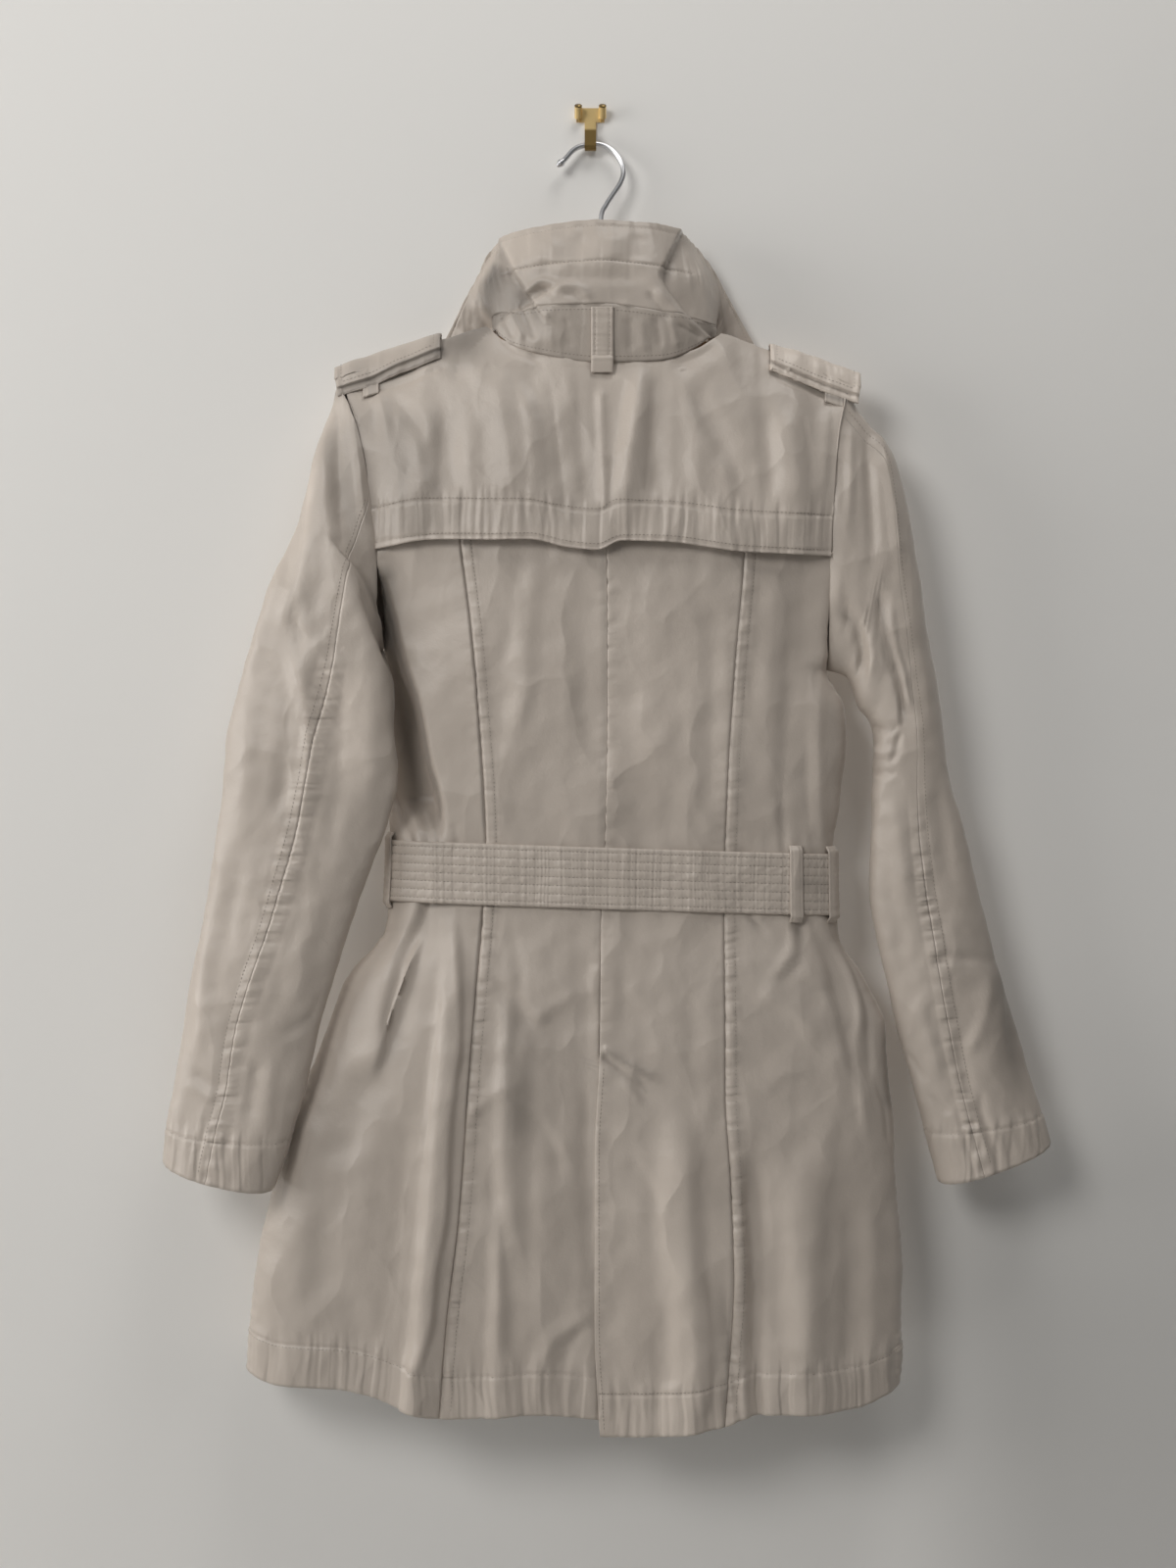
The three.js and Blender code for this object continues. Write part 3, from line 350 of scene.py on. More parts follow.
# Thread along lines of (u, v) on a piece's surface: each stitch is a short ridge, high in its middle, whose
# ends dip into the cloth.
def stitches(name, rows):
    surface, sections, count = surfaces[name], [], 0
    shape = ((-1, stitch["dip"], stitch["narrow"]), (0, stitch["rise"], 1), (1, stitch["dip"], stitch["narrow"]))
    for us, vs in rows:
        us, vs = np.broadcast_arrays(np.asarray(us, float), np.asarray(vs, float))
        p, n = surface(us, vs), surface.normal(us, vs)
        run = np.concatenate([[0], np.cumsum(np.linalg.norm(np.diff(p, axis=0), axis=-1))])
        middles = np.arange(stitch["pitch"] / 2, run[-1] - stitch["pitch"] / 2, stitch["pitch"])
        if len(middles) == 0:
            continue
        half = stitch["length"] / 2
        ahead = readAt(middles + half, run, p) - readAt(middles - half, run, p)
        ahead /= np.maximum(np.linalg.norm(ahead, axis=-1, keepdims=True), 1e-9)
        up = readAt(middles, run, n)
        side = np.cross(ahead, up) * stitch["width"] / 2
        ring = []
        for way, lift, width in shape:
            centre = readAt(middles + way * half, run, p) + up * lift
            ring += [centre + side * width, centre + up * stitch["over"]]
            ring += [centre - side * width, centre - up * stitch["under"]]
        sections.append(np.stack(ring, axis=1))
        count += len(middles)
    points = np.concatenate(sections).reshape(-1, 3)
    walls = [[s + k, s + (k + 1) % 4, s + 4 + (k + 1) % 4, s + 4 + k] for s in (0, 4) for k in range(4)]
    one = np.array(walls + [[3, 2, 1, 0], [8, 9, 10, 11]])[:, ::-1]
    faces = (one[None] + 12 * np.arange(count)[:, None, None]).reshape(-1, 4)
    thread[name] = finishPiece(f"stitches_{name}", points, faces, threadLook, wall=0)


def shaderNode(tree, kind, inputs=None, **settings):
    node = tree.nodes.new(kind)
    for key, value in settings.items():
        setattr(node, key, value)
    for key, value in (inputs or {}).items():
        node.inputs[key].default_value = value
    return node


def plainLook(name, colour, roughness, metallic=0.0):
    look = bpy.data.materials.new(name)
    look.use_nodes = True
    shader = look.node_tree.nodes["Principled BSDF"]
    shader.inputs["Base Color"].default_value = (*colour, 1)
    shader.inputs["Roughness"].default_value = roughness
    shader.inputs["Metallic"].default_value = metallic
    return look


weave = {
    "colour": (0.545, 0.48, 0.42), "shade": (0.49, 0.425, 0.368), "roughness": 0.44, "shine": 0.5, "sheen": 0.15,
    "sheenRoughness": 0.4, "cloudScale": 14.0, "creaseScale": 70.0, "creaseDepth": 0.0011, "creaseStrength": 0.6,
    "threadScale": 900.0, "threadDepth": 0.00012, "threadStrength": 0.5, "crumpleScale": 24.0,
    "crumpleDepth": 0.0038, "crumpleStrength": 0.8, "crumpleBend": 0.035, "crumpleTall": (1, 1, 0.6),
    "crumpleSmooth": 0.1, "wanderScale": 22.0, "tuckDepth": 0.0009, "tuckFrom": 0.3, "tuckTo": 0.62,
}


# Links in a node tree, each from (node, output) to (node, input).
def joinNodes(tree, pairs):
    for source, output, target, slot in pairs:
        tree.links.new(source.outputs[output], target.inputs[slot])


# Smooth cotton blend: slow clouds between two close tones, times the piece's painted light and shade. Bumps:
# shallow bowls with crisp rims between them (the squared distance to scattered points), small creases and a
# fine grain, and tucks: noise along one axis, its middle values stretched, times the piece's own depth of tucks.
def makeClothLook(name, tuckPitch):
    look = bpy.data.materials.new(name)
    look.use_nodes = True
    tree = look.node_tree
    shader = tree.nodes["Principled BSDF"]
    shader.inputs["Roughness"].default_value = weave["roughness"]
    shader.inputs["Specular IOR Level"].default_value = weave["shine"]
    shader.inputs["Sheen Weight"].default_value = weave["sheen"]
    shader.inputs["Sheen Roughness"].default_value = weave["sheenRoughness"]

    def noise(scale, detail, **settings):
        return shaderNode(tree, "ShaderNodeTexNoise", {"Scale": scale, "Detail": detail}, **settings)

    def bumpNode(strength, depth):
        return shaderNode(tree, "ShaderNodeBump", {"Strength": strength, "Distance": depth})

    def mathNode(operation):
        return shaderNode(tree, "ShaderNodeMath", operation=operation)

    place, axes = shaderNode(tree, "ShaderNodeTexCoord"), shaderNode(tree, "ShaderNodeSeparateXYZ")
    clouds, creases = noise(weave["cloudScale"], 3.0), noise(weave["creaseScale"], 4.0)
    creases.inputs["Roughness"].default_value = 0.55
    grain, wander = noise(weave["threadScale"], 1.0), noise(weave["wanderScale"], 1.0)
    tones = shaderNode(tree, "ShaderNodeMix", data_type="RGBA")
    tones.inputs["A"].default_value = (*weave["shade"], 1)
    tones.inputs["B"].default_value = (*weave["colour"], 1)
    tone = shaderNode(tree, "ShaderNodeAttribute", attribute_name="shade")
    toned = shaderNode(tree, "ShaderNodeVectorMath", operation="SCALE")
    taller = shaderNode(tree, "ShaderNodeMapping", {"Scale": weave["crumpleTall"]})
    moved = shaderNode(tree, "ShaderNodeVectorMath", operation="MULTIPLY_ADD")
    moved.inputs[1].default_value = (weave["crumpleBend"],) * 3
    bowls = shaderNode(
        tree, "ShaderNodeTexVoronoi",
        {"Scale": weave["crumpleScale"], "Randomness": 1.0, "Smoothness": weave["crumpleSmooth"]}, feature="SMOOTH_F1",
    )
    deeper = mathNode("POWER")
    deeper.inputs[1].default_value = 2.0
    tucked = bumpNode(1.0, weave["tuckDepth"])
    crumple = bumpNode(weave["crumpleStrength"], weave["crumpleDepth"])
    soft = bumpNode(weave["creaseStrength"], weave["creaseDepth"])
    fine = bumpNode(weave["threadStrength"], weave["threadDepth"])
    for texture in (axes, clouds, creases, grain, wander, taller):
        joinNodes(tree, [(place, "Object", texture, "Vector")])
    total = None
    for axis, title in (("X", "tucksAcross"), ("Z", "tucksDown")):
        scaled, bent, part = mathNode("MULTIPLY"), mathNode("ADD"), mathNode("MULTIPLY_ADD")
        scaled.inputs[1].default_value = 1 / tuckPitch
        row = noise(1.0, 1.0, noise_dimensions="1D")
        sharper = shaderNode(
            tree, "ShaderNodeMapRange", {"From Min": weave["tuckFrom"], "From Max": weave["tuckTo"]},
            interpolation_type="SMOOTHSTEP",
        )
        depth = shaderNode(tree, "ShaderNodeAttribute", attribute_name=title)
        part.inputs[2].default_value = 0
        joinNodes(tree, [
            (axes, axis, scaled, 0), (scaled, "Value", bent, 0), (wander, "Fac", bent, 1), (bent, "Value", row, "W"),
            (row, "Fac", sharper, "Value"), (sharper, "Result", part, 0), (depth, "Fac", part, 1),
        ] + ([(total, "Value", part, 2)] if total else []))
        total = part
    joinNodes(tree, [
        (clouds, "Fac", tones, "Factor"), (tones, "Result", toned, 0), (tone, "Fac", toned, "Scale"),
        (toned, "Vector", shader, "Base Color"), (total, "Value", tucked, "Height"), (wander, "Color", moved, 0),
        (taller, "Vector", moved, 2), (moved, "Vector", bowls, "Vector"), (bowls, "Distance", deeper, 0),
        (deeper, "Value", crumple, "Height"), (tucked, "Normal", crumple, "Normal"), (creases, "Fac", soft, "Height"),
        (crumple, "Normal", soft, "Normal"), (grain, "Fac", fine, "Height"), (soft, "Normal", fine, "Normal"),
        (fine, "Normal", shader, "Normal"),
    ])
    return look


clothLook = makeClothLook("smooth cotton blend", 0.0105)
beltClothLook = makeClothLook("stitched cotton blend", 0.0045)
threadLook = plainLook("matching thread", (0.27, 0.23, 0.195), 0.6)

# The garment's form: the shoulder line, the body's section at each height, seams, hems
shoulder = through("x z", [
    (-194, -213), (-154, -200), (-112, -187), (-78, -177), (10, -169), (99, -182), (138, -196), (173, -207),
    (202, -217),
])
neckBack = through("x z", [
    (-78, -179), (-66, -189), (-40, -197), (-2, -203), (43, -203), (77, -197), (99, -184),
])
neckFront = through("x z", [
    (-78, -192), (-68, -229), (-42, -254), (11, -272), (64, -256), (90, -229), (101, -196),
])
neckLeft, neckRight = -78, 99

bodyRows = table("z left right leftY rightY back front", [
    (-213, -194, 202, -37, -37, -60, -12),
    (-230, -188, 198, -36, -37, -62, -11),
    (-260, -178, 191, -35, -37, -66, -10),
    (-300, -171, 187, -34, -37, -70, -9),
    (-350, -165, 184, -32, -37, -72, -9),
    (-390, -161, 183, -31, -37, -72, -9),
    (-424, -161, 183, -30, -37, -72, -9),
    (-441, -163, 183, -21, -37, -72, -9),
    (-456, -164, 189, -20, -37, -72, -9),
    (-470, -164, 196, -20, -36, -72, -9),
    (-500, -163, 198, -21, -35, -71, -9),
    (-540, -160, 194, -21, -34, -69, -11),
    (-576, -156, 189, -23, -34, -66, -14),
    (-640, -159, 190, -24, -34, -66, -14),
    (-683, -191, 212, -26, -35, -72, -11),
    (-720, -205, 228, -28, -37, -75, -9),
    (-770, -224, 232, -30, -38, -79, -9),
    (-840, -246, 237, -32, -40, -83, -9),
    (-912, -260, 241, -33, -41, -85, -9),
    (-1024, -271, 237, -34, -42, -86, -9),
])
bodyLeft, bodyRight, leftY, rightY, backY, frontY = (
    curve(bodyRows, "z", name) for name in ("left", "right", "leftY", "rightY", "back", "front")
)
form = {
    "ridgeY": -37, "armholeReach": 25, "shoulderRound": 62, "round": 3.2, "seam": 0.15,
    "leftHole": (-213, -424), "rightHole": (-217, -441), "top": -178, "bottom": -1005,
    "freeFrom": -340, "freeTo": -835, "squareFrom": -480, "squareTo": -350, "crowd": 1.15,
    "holeFlank": 0.86,
}
princessLeft = through("z x", [
    (-230, -108), (-345, -99), (-411, -91), (-456, -87), (-576, -80), (-623, -82), (-722, -90), (-855, -99),
    (-933, -108), (-1010, -114),
])
centreSeam = through("z x", [
    (-200, 11), (-456, 13), (-578, 11), (-640, 8), (-731, 7), (-812, 3), (-936, 3), (-1021, 7),
])
princessRight = through("z x", [
    (-230, 124), (-359, 117), (-439, 110), (-541, 104), (-629, 102), (-766, 102), (-832, 106), (-902, 108),
    (-1019, 101),
])
hemLeft = through("x z", [
    (-271, -979), (-234, -987), (-194, -987), (-168, -991), (-140, -1001), (-108, -1008), (-40, -1005), (6, -1009),
])
hemRight = through("x z", [
    (3, -1021), (40, -1021), (97, -1015), (121, -1007), (200, -1003), (227, -995), (240, -989),
])
hemFront = through("x z", [(-271, -974), (0, -990), (240, -984)])
hemFlap = through("x z", [
    (-166, -350), (-121, -344), (-76, -345), (-46, -345), (-17, -351), (5, -353), (24, -346), (58, -347),
    (117, -354), (184, -356),
])

# The largest folds of the back. Columns: top and bottom z, x at both, left and right width, rise.
largeFolds = [
    (-215, -345, 40, 24, 16, 14, 4), (-215, -330, -42, -30, 26, 12, 3.5), (-235, -345, -122, -128, 22, 12, 4),
    (-240, -345, 150, 158, 20, 14, 4), (-640, -760, -130, -170, 40, 8, 9), (-640, -1030, -106, -136, 9, 22, 8),
    (-660, -1030, -60, -72, 12, 24, 5), (-760, -1030, 70, 78, 30, 16, 6), (-640, -770, 176, 208, 8, 26, -7),
    (-800, -1030, 152, 170, 26, 34, 8), (-800, -1030, 122, 126, 10, 12, -7),
]
sunken = {"from": -576, "full": -540, "fullTo": -420, "to": -330, "flank": 10, "depth": 9}
sunkEdge = through("z x", [
    (-360, -163), (-380, -153), (-440, -139), (-469, -128), (-508, -120), (-550, -110), (-574, -108),
])


# Rise of the large folds: half a cosine wave across, faded in from the top and out to the bottom unless the
# fold runs on into the hem.
def largeRise(x, z):
    rise = np.zeros(x.shape)
    for top, bottom, topX, bottomX, left, right, height in largeFolds:
        t = (z - top) / (bottom - top)
        away = x - mix(topX, bottomX, t)
        q = np.clip(np.abs(away) / np.where(away < 0, left, right), 0, 1)
        fade = step(t, 0, 0.25) * (1 if bottom < bodyRows["z"][-1] else 1 - step(t, 0.75, 1)) * ((t > 0) & (t < 1))
        rise += height * fade * 0.5 * (1 + np.cos(math.pi * q))
    return rise


# A point of the body at a place across (-1 left, 1 right) and a height; side is -1 at the back, 1 at the
# front. Across, depth follows a superellipse from side seam to side seam; up to the shoulder line it follows
# a quarter circle.
def bodyPoint(across, z, side):
    x = mix(bodyLeft(z), bodyRight(z), (across + 1) / 2)
    seamY = np.where(across < 0, leftY(z), rightY(z))
    arc = 0
    for hole, here in ((form["leftHole"], across < 0), (form["rightHole"], across >= 0)):
        part = (z - (hole[0] + hole[1]) / 2) / ((hole[0] - hole[1]) / 2)
        arc = np.where(here, np.sqrt(np.maximum(0, 1 - part**2)), arc)
    inward = arc + (arc**3 - arc) * (1 - step(np.abs(across), form["holeFlank"], 1))
    edgeY = seamY + side * form["armholeReach"] * inward
    reach = backY(z) if side < 0 else frontY(z)
    power = mix(form["round"], 1, step(z, form["squareFrom"], form["squareTo"]))
    fullness = np.maximum(0, 1 - np.abs(across) ** form["round"]) ** (1 / power)
    below = np.clip((shoulder(x) - z) / form["shoulderRound"], 0, 1)
    y = mix(edgeY, mix(form["ridgeY"], reach, np.sqrt(1 - (1 - below) ** 2)), fullness) + side * form["seam"]
    if side < 0:
        sunk = step(z, sunken["from"], sunken["full"]) * (1 - step(z, sunken["fullTo"], sunken["to"]))
        sunk = sunk * (1 - step(x, sunkEdge(z) - sunken["flank"], sunkEdge(z)))
        y = mix(y, np.maximum(y, seamY - sunken["depth"] * fullness), sunk)
        y = y - largeRise(x, z) * fullness
    return np.stack([x, y, z + 0 * x], axis=-1)


def acrossAt(x, z):
    left, right = bodyLeft(z), bodyRight(z)
    return np.clip((2 * x - left - right) / (right - left), -1, 1)


# A panel between two edges: places across are even steps of an angle, so the rounded sides get their share,
# and the rows bend from the neck or shoulder line at the top to the hem at the bottom.
def panel(edgeFrom, edgeTo, topOf, bottomOf, side, sink=None):
    def base(u, v):
        level = mix(form["top"], form["bottom"], v ** form["crowd"])
        nearTop = step(level, form["freeFrom"], form["top"])
        nearBottom = 1 - step(level, form["bottom"], form["freeTo"])
        z = level
        for turn in range(3):
            start, end = np.arccos(acrossAt(edgeFrom(z), z)), np.arccos(acrossAt(edgeTo(z), z))
            across = np.cos(mix(start, end, u))
            x = mix(bodyLeft(z), bodyRight(z), (across + 1) / 2)
            z = level + (topOf(x) - form["top"]) * nearTop + (bottomOf(x) - form["bottom"]) * nearBottom
        p = bodyPoint(across, z, side)
        if sink:
            p[..., 1] += sink(p[..., 0], p[..., 2])
        return p

    return base


# The top line of the back or the front: the shoulder line, cut lower by the neck line between its ends.
def topLine(neck):
    def top(x):
        inNeck = (x > neckLeft) & (x < neckRight)
        return np.where(inNeck, np.minimum(shoulder(x), neck(x)), shoulder(x)) - form["seam"]

    return top


backTop, frontTop = topLine(neckBack), topLine(neckFront)
vent = {"top": -735, "under": 32, "step": 2.6, "stitch": 3.5}


# Below the vent's top the left centre panel runs on under the right one.
def ventEdge(z):
    return centreSeam(z) + vent["under"] * (1 - step(z, vent["top"] - 14, vent["top"]))


# There it lies nearer the wall: a soft step across times a soft step down.
def ventSink(x, z):
    reached = step(x, centreSeam(z) - 44, centreSeam(z) - 14)
    return vent["step"] * reached * (1 - step(z, vent["top"] + 45, vent["top"] + 100))


backFolds = [
    (1.6, 14, 12, 0.1, 0.2, 0.3, [(-43, -358), (-47, -410), (-54, -500)]),
    (-1.5, 16, 18, 0, 0.3, 0.3, [(-9, -358), (-5, -440), (-2, -530)]),
    (-1.4, 18, 14, 0, 0.3, 0.3, [(-62, -380), (-68, -455), (-71, -545)]),
    (1.4, 20, 20, 0, 0.3, 0.3, [(43, -365), (49, -455), (52, -560)]),
    (-1.6, 16, 12, 0.1, 0.3, 0.2, [(90, -380), (93, -470), (91, -568)]),
    (1.8, 12, 14, 0.1, 0.2, 0.3, [(141, -365), (138, -425), (133, -500)]),
    (-1.8, 10, 16, 0.1, 0.3, 0.2, [(157, -380), (153, -455), (148, -530), (147, -576)]),
    (1.8, 10, 8, 0.4, 0.3, 0.1, [(183, -399), (177, -440), (174, -485), (175, -530), (177, -581)]),
    (-1.4, 12, 8, 0.3, 0.3, 0.1, [(165, -470), (166, -530), (169, -581)]),
    (-1.5, 4, 6, 0.5, 0.2, 0, [(146, -530), (147, -581)]),
    (1.3, 30, 24, 0, 0.3, 0.3, [(28, -372), (88, -425), (111, -470)]),
    (-1.1, 22, 24, 0, 0.3, 0.3, [(21, -425), (66, -485), (103, -530)]),
    (-2, 4, 5, 0.5, 0.3, 0, [(-150, -534), (-143, -557), (-135, -580)]),
    (-1.6, 4, 4, 0.5, 0.3, 0, [(-131, -546), (-126, -560), (-123, -580)]),
    (-1.6, 3, 4, 0.5, 0.3, 0, [(-120, -557), (-117, -568), (-114, -580)]),
    (1.8, 5, 5, 0.3, 0.3, 0, [(-143, -539), (-134, -560), (-129, -580)]),
    (-1.3, 4, 5, 0.3, 0.3, 0, [(-105, -558), (-102, -580)]),
    (-4, 6, 22, 0.2, 0, 0.3, [(-125, -618), (-131, -639), (-141, -656), (-149, -683), (-156, -710), (-160, -743)]),
    (2.2, 24, 8, 0.3, 0, 0.4, [(-132, -618), (-140, -642), (-152, -664), (-161, -689), (-170, -726)]),
    (2.6, 10, 26, 0.4, 0.2, 0.3, [(-49, -714), (-30, -701), (-2, -684)]),
    (-2.4, 14, 9, 0.3, 0.2, 0.3, [(-77, -682), (-54, -698), (-41, -725)]),
    (2.2, 8, 22, 0.4, 0.2, 0.3, [(-99, -792), (-77, -770), (-47, -758)]),
    (-2.4, 22, 8, 0.3, 0.2, 0.3, [(-62, -770), (-32, -800), (-17, -845)]),
    (2.6, 10, 24, 0.4, 0.2, 0.3, [(127, -689), (153, -702), (178, -730)]),
    (-1.8, 18, 8, 0.3, 0.2, 0.3, [(141, -680), (163, -684), (186, -695)]),
    (1.5, 8, 18, 0.4, 0.2, 0.3, [(130, -770), (148, -752), (175, -748)]),
    (-1.4, 16, 8, 0.3, 0.2, 0.3, [(28, -815), (46, -838), (55, -868)]),
    (1.3, 8, 14, 0.4, 0.2, 0.3, [(25, -680), (46, -702), (73, -710)]),
    (-2.6, 22, 18, 0, 0.3, 0.3, [(-149, -748), (-173, -766), (-183, -792), (-197, -830)]),
    (2, 20, 18, 0, 0.3, 0.3, [(-189, -748), (-213, -792), (-222, -860), (-227, -935)]),
    (-1.6, 16, 14, 0, 0.3, 0.3, [(-201, -845), (-204, -898), (-210, -942)]),
    (1.8, 18, 14, 0, 0.3, 0.3, [(-163, -785), (-173, -852), (-180, -935)]),
    (-2, 14, 10, 0.1, 0.3, 0.2, [(-137, -770), (-143, -845), (-153, -928), (-161, -965)]),
    (3.4, 16, 6, 0.45, 0.1, 0, [
        (-105, -624), (-102, -680), (-102, -730), (-107, -766), (-110, -796), (-113, -864), (-120, -898),
        (-123, -939), (-131, -969), (-138, -989), (-141, -1010),
    ]),
    (-2.6, 10, 12, 0.1, 0.2, 0.1, [(-77, -822), (-68, -871), (-62, -912), (-60, -972)]),
    (-0.9, 8, 8, 0.1, 0.2, 0.2, [(-62, -628), (-54, -688), (-62, -770)]),
    (0.8, 14, 12, 0, 0.2, 0.3, [(-43, -628), (-38, -710), (-35, -815), (-32, -905)]),
    (-1.2, 14, 8, 0.1, 0.2, 0.1, [(-3, -635), (-3, -755), (-3, -905)]),
    (0.7, 14, 10, 0.2, 0.1, 0.1, [(18, -634), (17, -688), (15, -730)]),
    (2.6, 3, 5, 0.6, 0.1, 0.3, [(8, -731), (27, -744), (45, -752), (58, -759)]),
    (-2.8, 3, 7, 0.5, 0.1, 0.3, [(7, -737), (24, -752), (36, -761), (46, -770)]),
    (1.1, 4, 4, 0.6, 0.2, 0.3, [(23, -755), (33, -767), (39, -778)]),
    (-1.6, 10, 8, 0.2, 0.1, 0.2, [(-2, -755), (-2, -830), (0, -935)]),
    (2, 12, 8, 0.4, 0.2, 0.2, [(4, -928), (-9, -942), (-26, -953), (-36, -974), (-41, -1010)]),
    (-1.8, 8, 6, 0.3, 0.2, 0.2, [(-2, -942), (-14, -958), (-21, -976), (-24, -1010)]),
    (1.1, 22, 16, 0, 0.2, 0.2, [(36, -770), (36, -860), (34, -980)]),
    (-1.8, 14, 12, 0.2, 0.3, 0.1, [(60, -898), (58, -942), (61, -995)]),
    (2.6, 18, 8, 0.2, 0.3, 0.1, [(73, -890), (85, -920), (90, -965), (85, -1018)]),
    (-2.2, 9, 8, 0.3, 0.3, 0.1, [(102, -905), (105, -942), (109, -980), (106, -1018)]),
    (-0.8, 16, 18, 0, 0.3, 0.3, [(73, -650), (78, -725), (79, -815)]),
    (1.2, 14, 12, 0, 0.3, 0.3, [(92, -642), (90, -725), (90, -815)]),
    (-1.9, 4, 5, 0.6, 0, 0.4, [(120, -628), (126, -636), (136, -648)]),
    (-2, 7, 8, 0.3, 0, 0.3, [(160, -634), (163, -650), (159, -668), (145, -680), (138, -692)]),
    (1.8, 8, 6, 0.4, 0, 0.3, [(150, -635), (154, -653), (148, -670), (136, -680)]),
    (2.6, 6, 10, 0.5, 0, 0.2, [
        (171, -630), (189, -657), (201, -682), (206, -706), (202, -730), (207, -773), (214, -815),
    ]),
    (-2.4, 7, 5, 0.4, 0.1, 0.2, [(183, -641), (199, -669), (211, -699), (213, -730), (214, -762)]),
    (2, 7, 8, 0.4, 0, 0.3, [(186, -634), (207, -672), (222, -707), (225, -740)]),
    (-1.6, 5, 5, 0.5, 0.2, 0.2, [(218, -751), (225, -778), (228, -808)]),
    (-2.8, 16, 22, 0, 0.3, 0.2, [(130, -762), (127, -830), (135, -898), (141, -965)]),
    (3, 22, 16, 0.1, 0.3, 0.1, [(180, -778), (172, -845), (168, -905), (165, -980)]),
    (-2.2, 10, 14, 0.1, 0.3, 0.1, [(195, -830), (199, -898), (198, -980)]),
    (1.6, 10, 12, 0.1, 0.3, 0.1, [(214, -830), (217, -905), (214, -980)]),
]

hemBand = {"depth": 31, "pitch": 9.5, "rise": 0.8, "fade": 14, "share": 0.45, "lap": 0.5, "dip": 0.8}
seamBand = {
    "stitch": 8.5, "dip": 0.6, "pitch": 12.0, "rise": 0.8, "quietFrom": -620, "quietOver": -560, "lap": 0.5,
    "lapFrom": (0.5, 2.5), "lapTo": (9, 11),
}
waistBand = {
    "below": (-670, -630), "above": (-580, -545), "aside": (95, 150), "middle": 10, "pitch": 15, "rise": 0.4,
}
backUneven = ((0.9, 0.8, 66, 3), (0.34, 0.8, 27, 5))


# Relief of a back panel: folds, slow unevenness, the turned edges at its seams, the gathers and the stitched
# line of a flat-felled seam on its left edge, the gathered hem band and the gathers by the belt.
def backRelief(edgeFrom, edgeTo, hemOf, seed, felled, depths):
    def relief(p, u, v):
        a, b = seen(p)
        x, z = p[..., 0], p[..., 2]
        fromLeft, fromRight = x - edgeFrom(z), edgeTo(z) - x
        overHem = z - hemOf(x)
        height = foldHeight(backFolds, a, b)
        height += uneven(a, b, backUneven)
        height -= depths[0] * bump(fromLeft, 0, 1.1) + depths[1] * bump(fromRight, 0, 1.0)
        if felled:
            waves = gathers(z + 0.25 * fromLeft, seamBand["pitch"], seed)
            quiet = 1 - 0.5 * step(z, seamBand["quietFrom"], seamBand["quietOver"])
            height += seamBand["rise"] * waves * bump(fromLeft, 4, 5) * quiet
            height += seamBand["lap"] * step(fromLeft, *seamBand["lapFrom"]) * (1 - step(fromLeft, *seamBand["lapTo"]))
            height -= seamBand["dip"] * bump(fromLeft, seamBand["stitch"], 1.0)
        else:
            height += 0.3 * gathers(z, 13, seed) * bump(fromLeft, 2, 6)
        height += 0.3 * gathers(z, 11, seed + 2) * bump(fromRight, 2, 5)
        waves = gathers(a + 0.08 * overHem, hemBand["pitch"], seed + 0.7)
        over = overHem - hemBand["depth"]
        strength = bandStrength(over, hemBand["fade"], hemBand["fade"], hemBand["share"])
        height += hemBand["rise"] * waves * strength * (0.75 + 0.25 * unevenness(a, 0 * a, 80, 9))
        height += hemBand["lap"] * (1 - step(overHem, hemBand["depth"] - 1, hemBand["depth"] + 1))
        height -= hemBand["dip"] * bump(over, 0, 1.1)
        waist = step(z, *waistBand["below"]) * (1 - step(z, *waistBand["above"]))
        waves = gathers(a, waistBand["pitch"], seed + 4)
        height += waistBand["rise"] * waves * waist * step(np.abs(a - waistBand["middle"]), *waistBand["aside"])
        return height

    return relief


# Tucks side by side over the hem band, and down a felled seam (fewer down a plain one).
def backTucks(edgeFrom, hemOf, felled):
    def tucks(p, u, v):
        x, z = p[..., 0], p[..., 2]
        over = z - hemOf(x) - hemBand["depth"]
        quiet = 1 - 0.45 * step(z, seamBand["quietFrom"], seamBand["quietOver"])
        seam = bump(x - edgeFrom(z), 5, 5.5) * quiet if felled else 0.35 * bump(x - edgeFrom(z), 3, 5)
        return np.where(over > 0, bump(over, 0, 9), 1.0), seam * (over > 0)

    return tucks


# Edges, hem, sink, depth of the turned edges, places across and seed of each back panel.
backSide = {
    "back_side_left": (bodyLeft, princessLeft, hemLeft, None, (0, 1.0), 72, 1.3),
    "back_centre_left": (princessLeft, ventEdge, hemLeft, ventSink, (1.0, 0.3), 66, 2.1),
    "back_centre_right": (centreSeam, princessRight, hemRight, None, (0.25, 0.7), 52, 3.4),
    "back_side_right": (princessRight, bodyRight, hemRight, None, (0.7, 0), 62, 4.2),
}
felledPanels = ("back_centre_left", "back_side_right")
backDown = spaced(335, [0.03, 0.965], 0.03, 1.2)


# Where v lies on a panel for a height over its hem.
def overHemV(height):
    return ((height + form["bottom"] - form["top"]) / (form["bottom"] - form["top"])) ** (1 / form["crowd"])


for name, (edgeFrom, edgeTo, hemOf, sink, depths, columns, seed) in backSide.items():
    felled = name in felledPanels
    base = panel(edgeFrom, edgeTo, backTop, hemOf, -1, sink)
    surface = relieved(base, backRelief(edgeFrom, edgeTo, hemOf, seed, felled, depths))
    columns = spaced(columns, [0, 1], 0.06, 2.5)
    clothPiece(name, surface, columns, backDown, tucks=backTucks(edgeFrom, hemOf, felled))
print("back panels made")


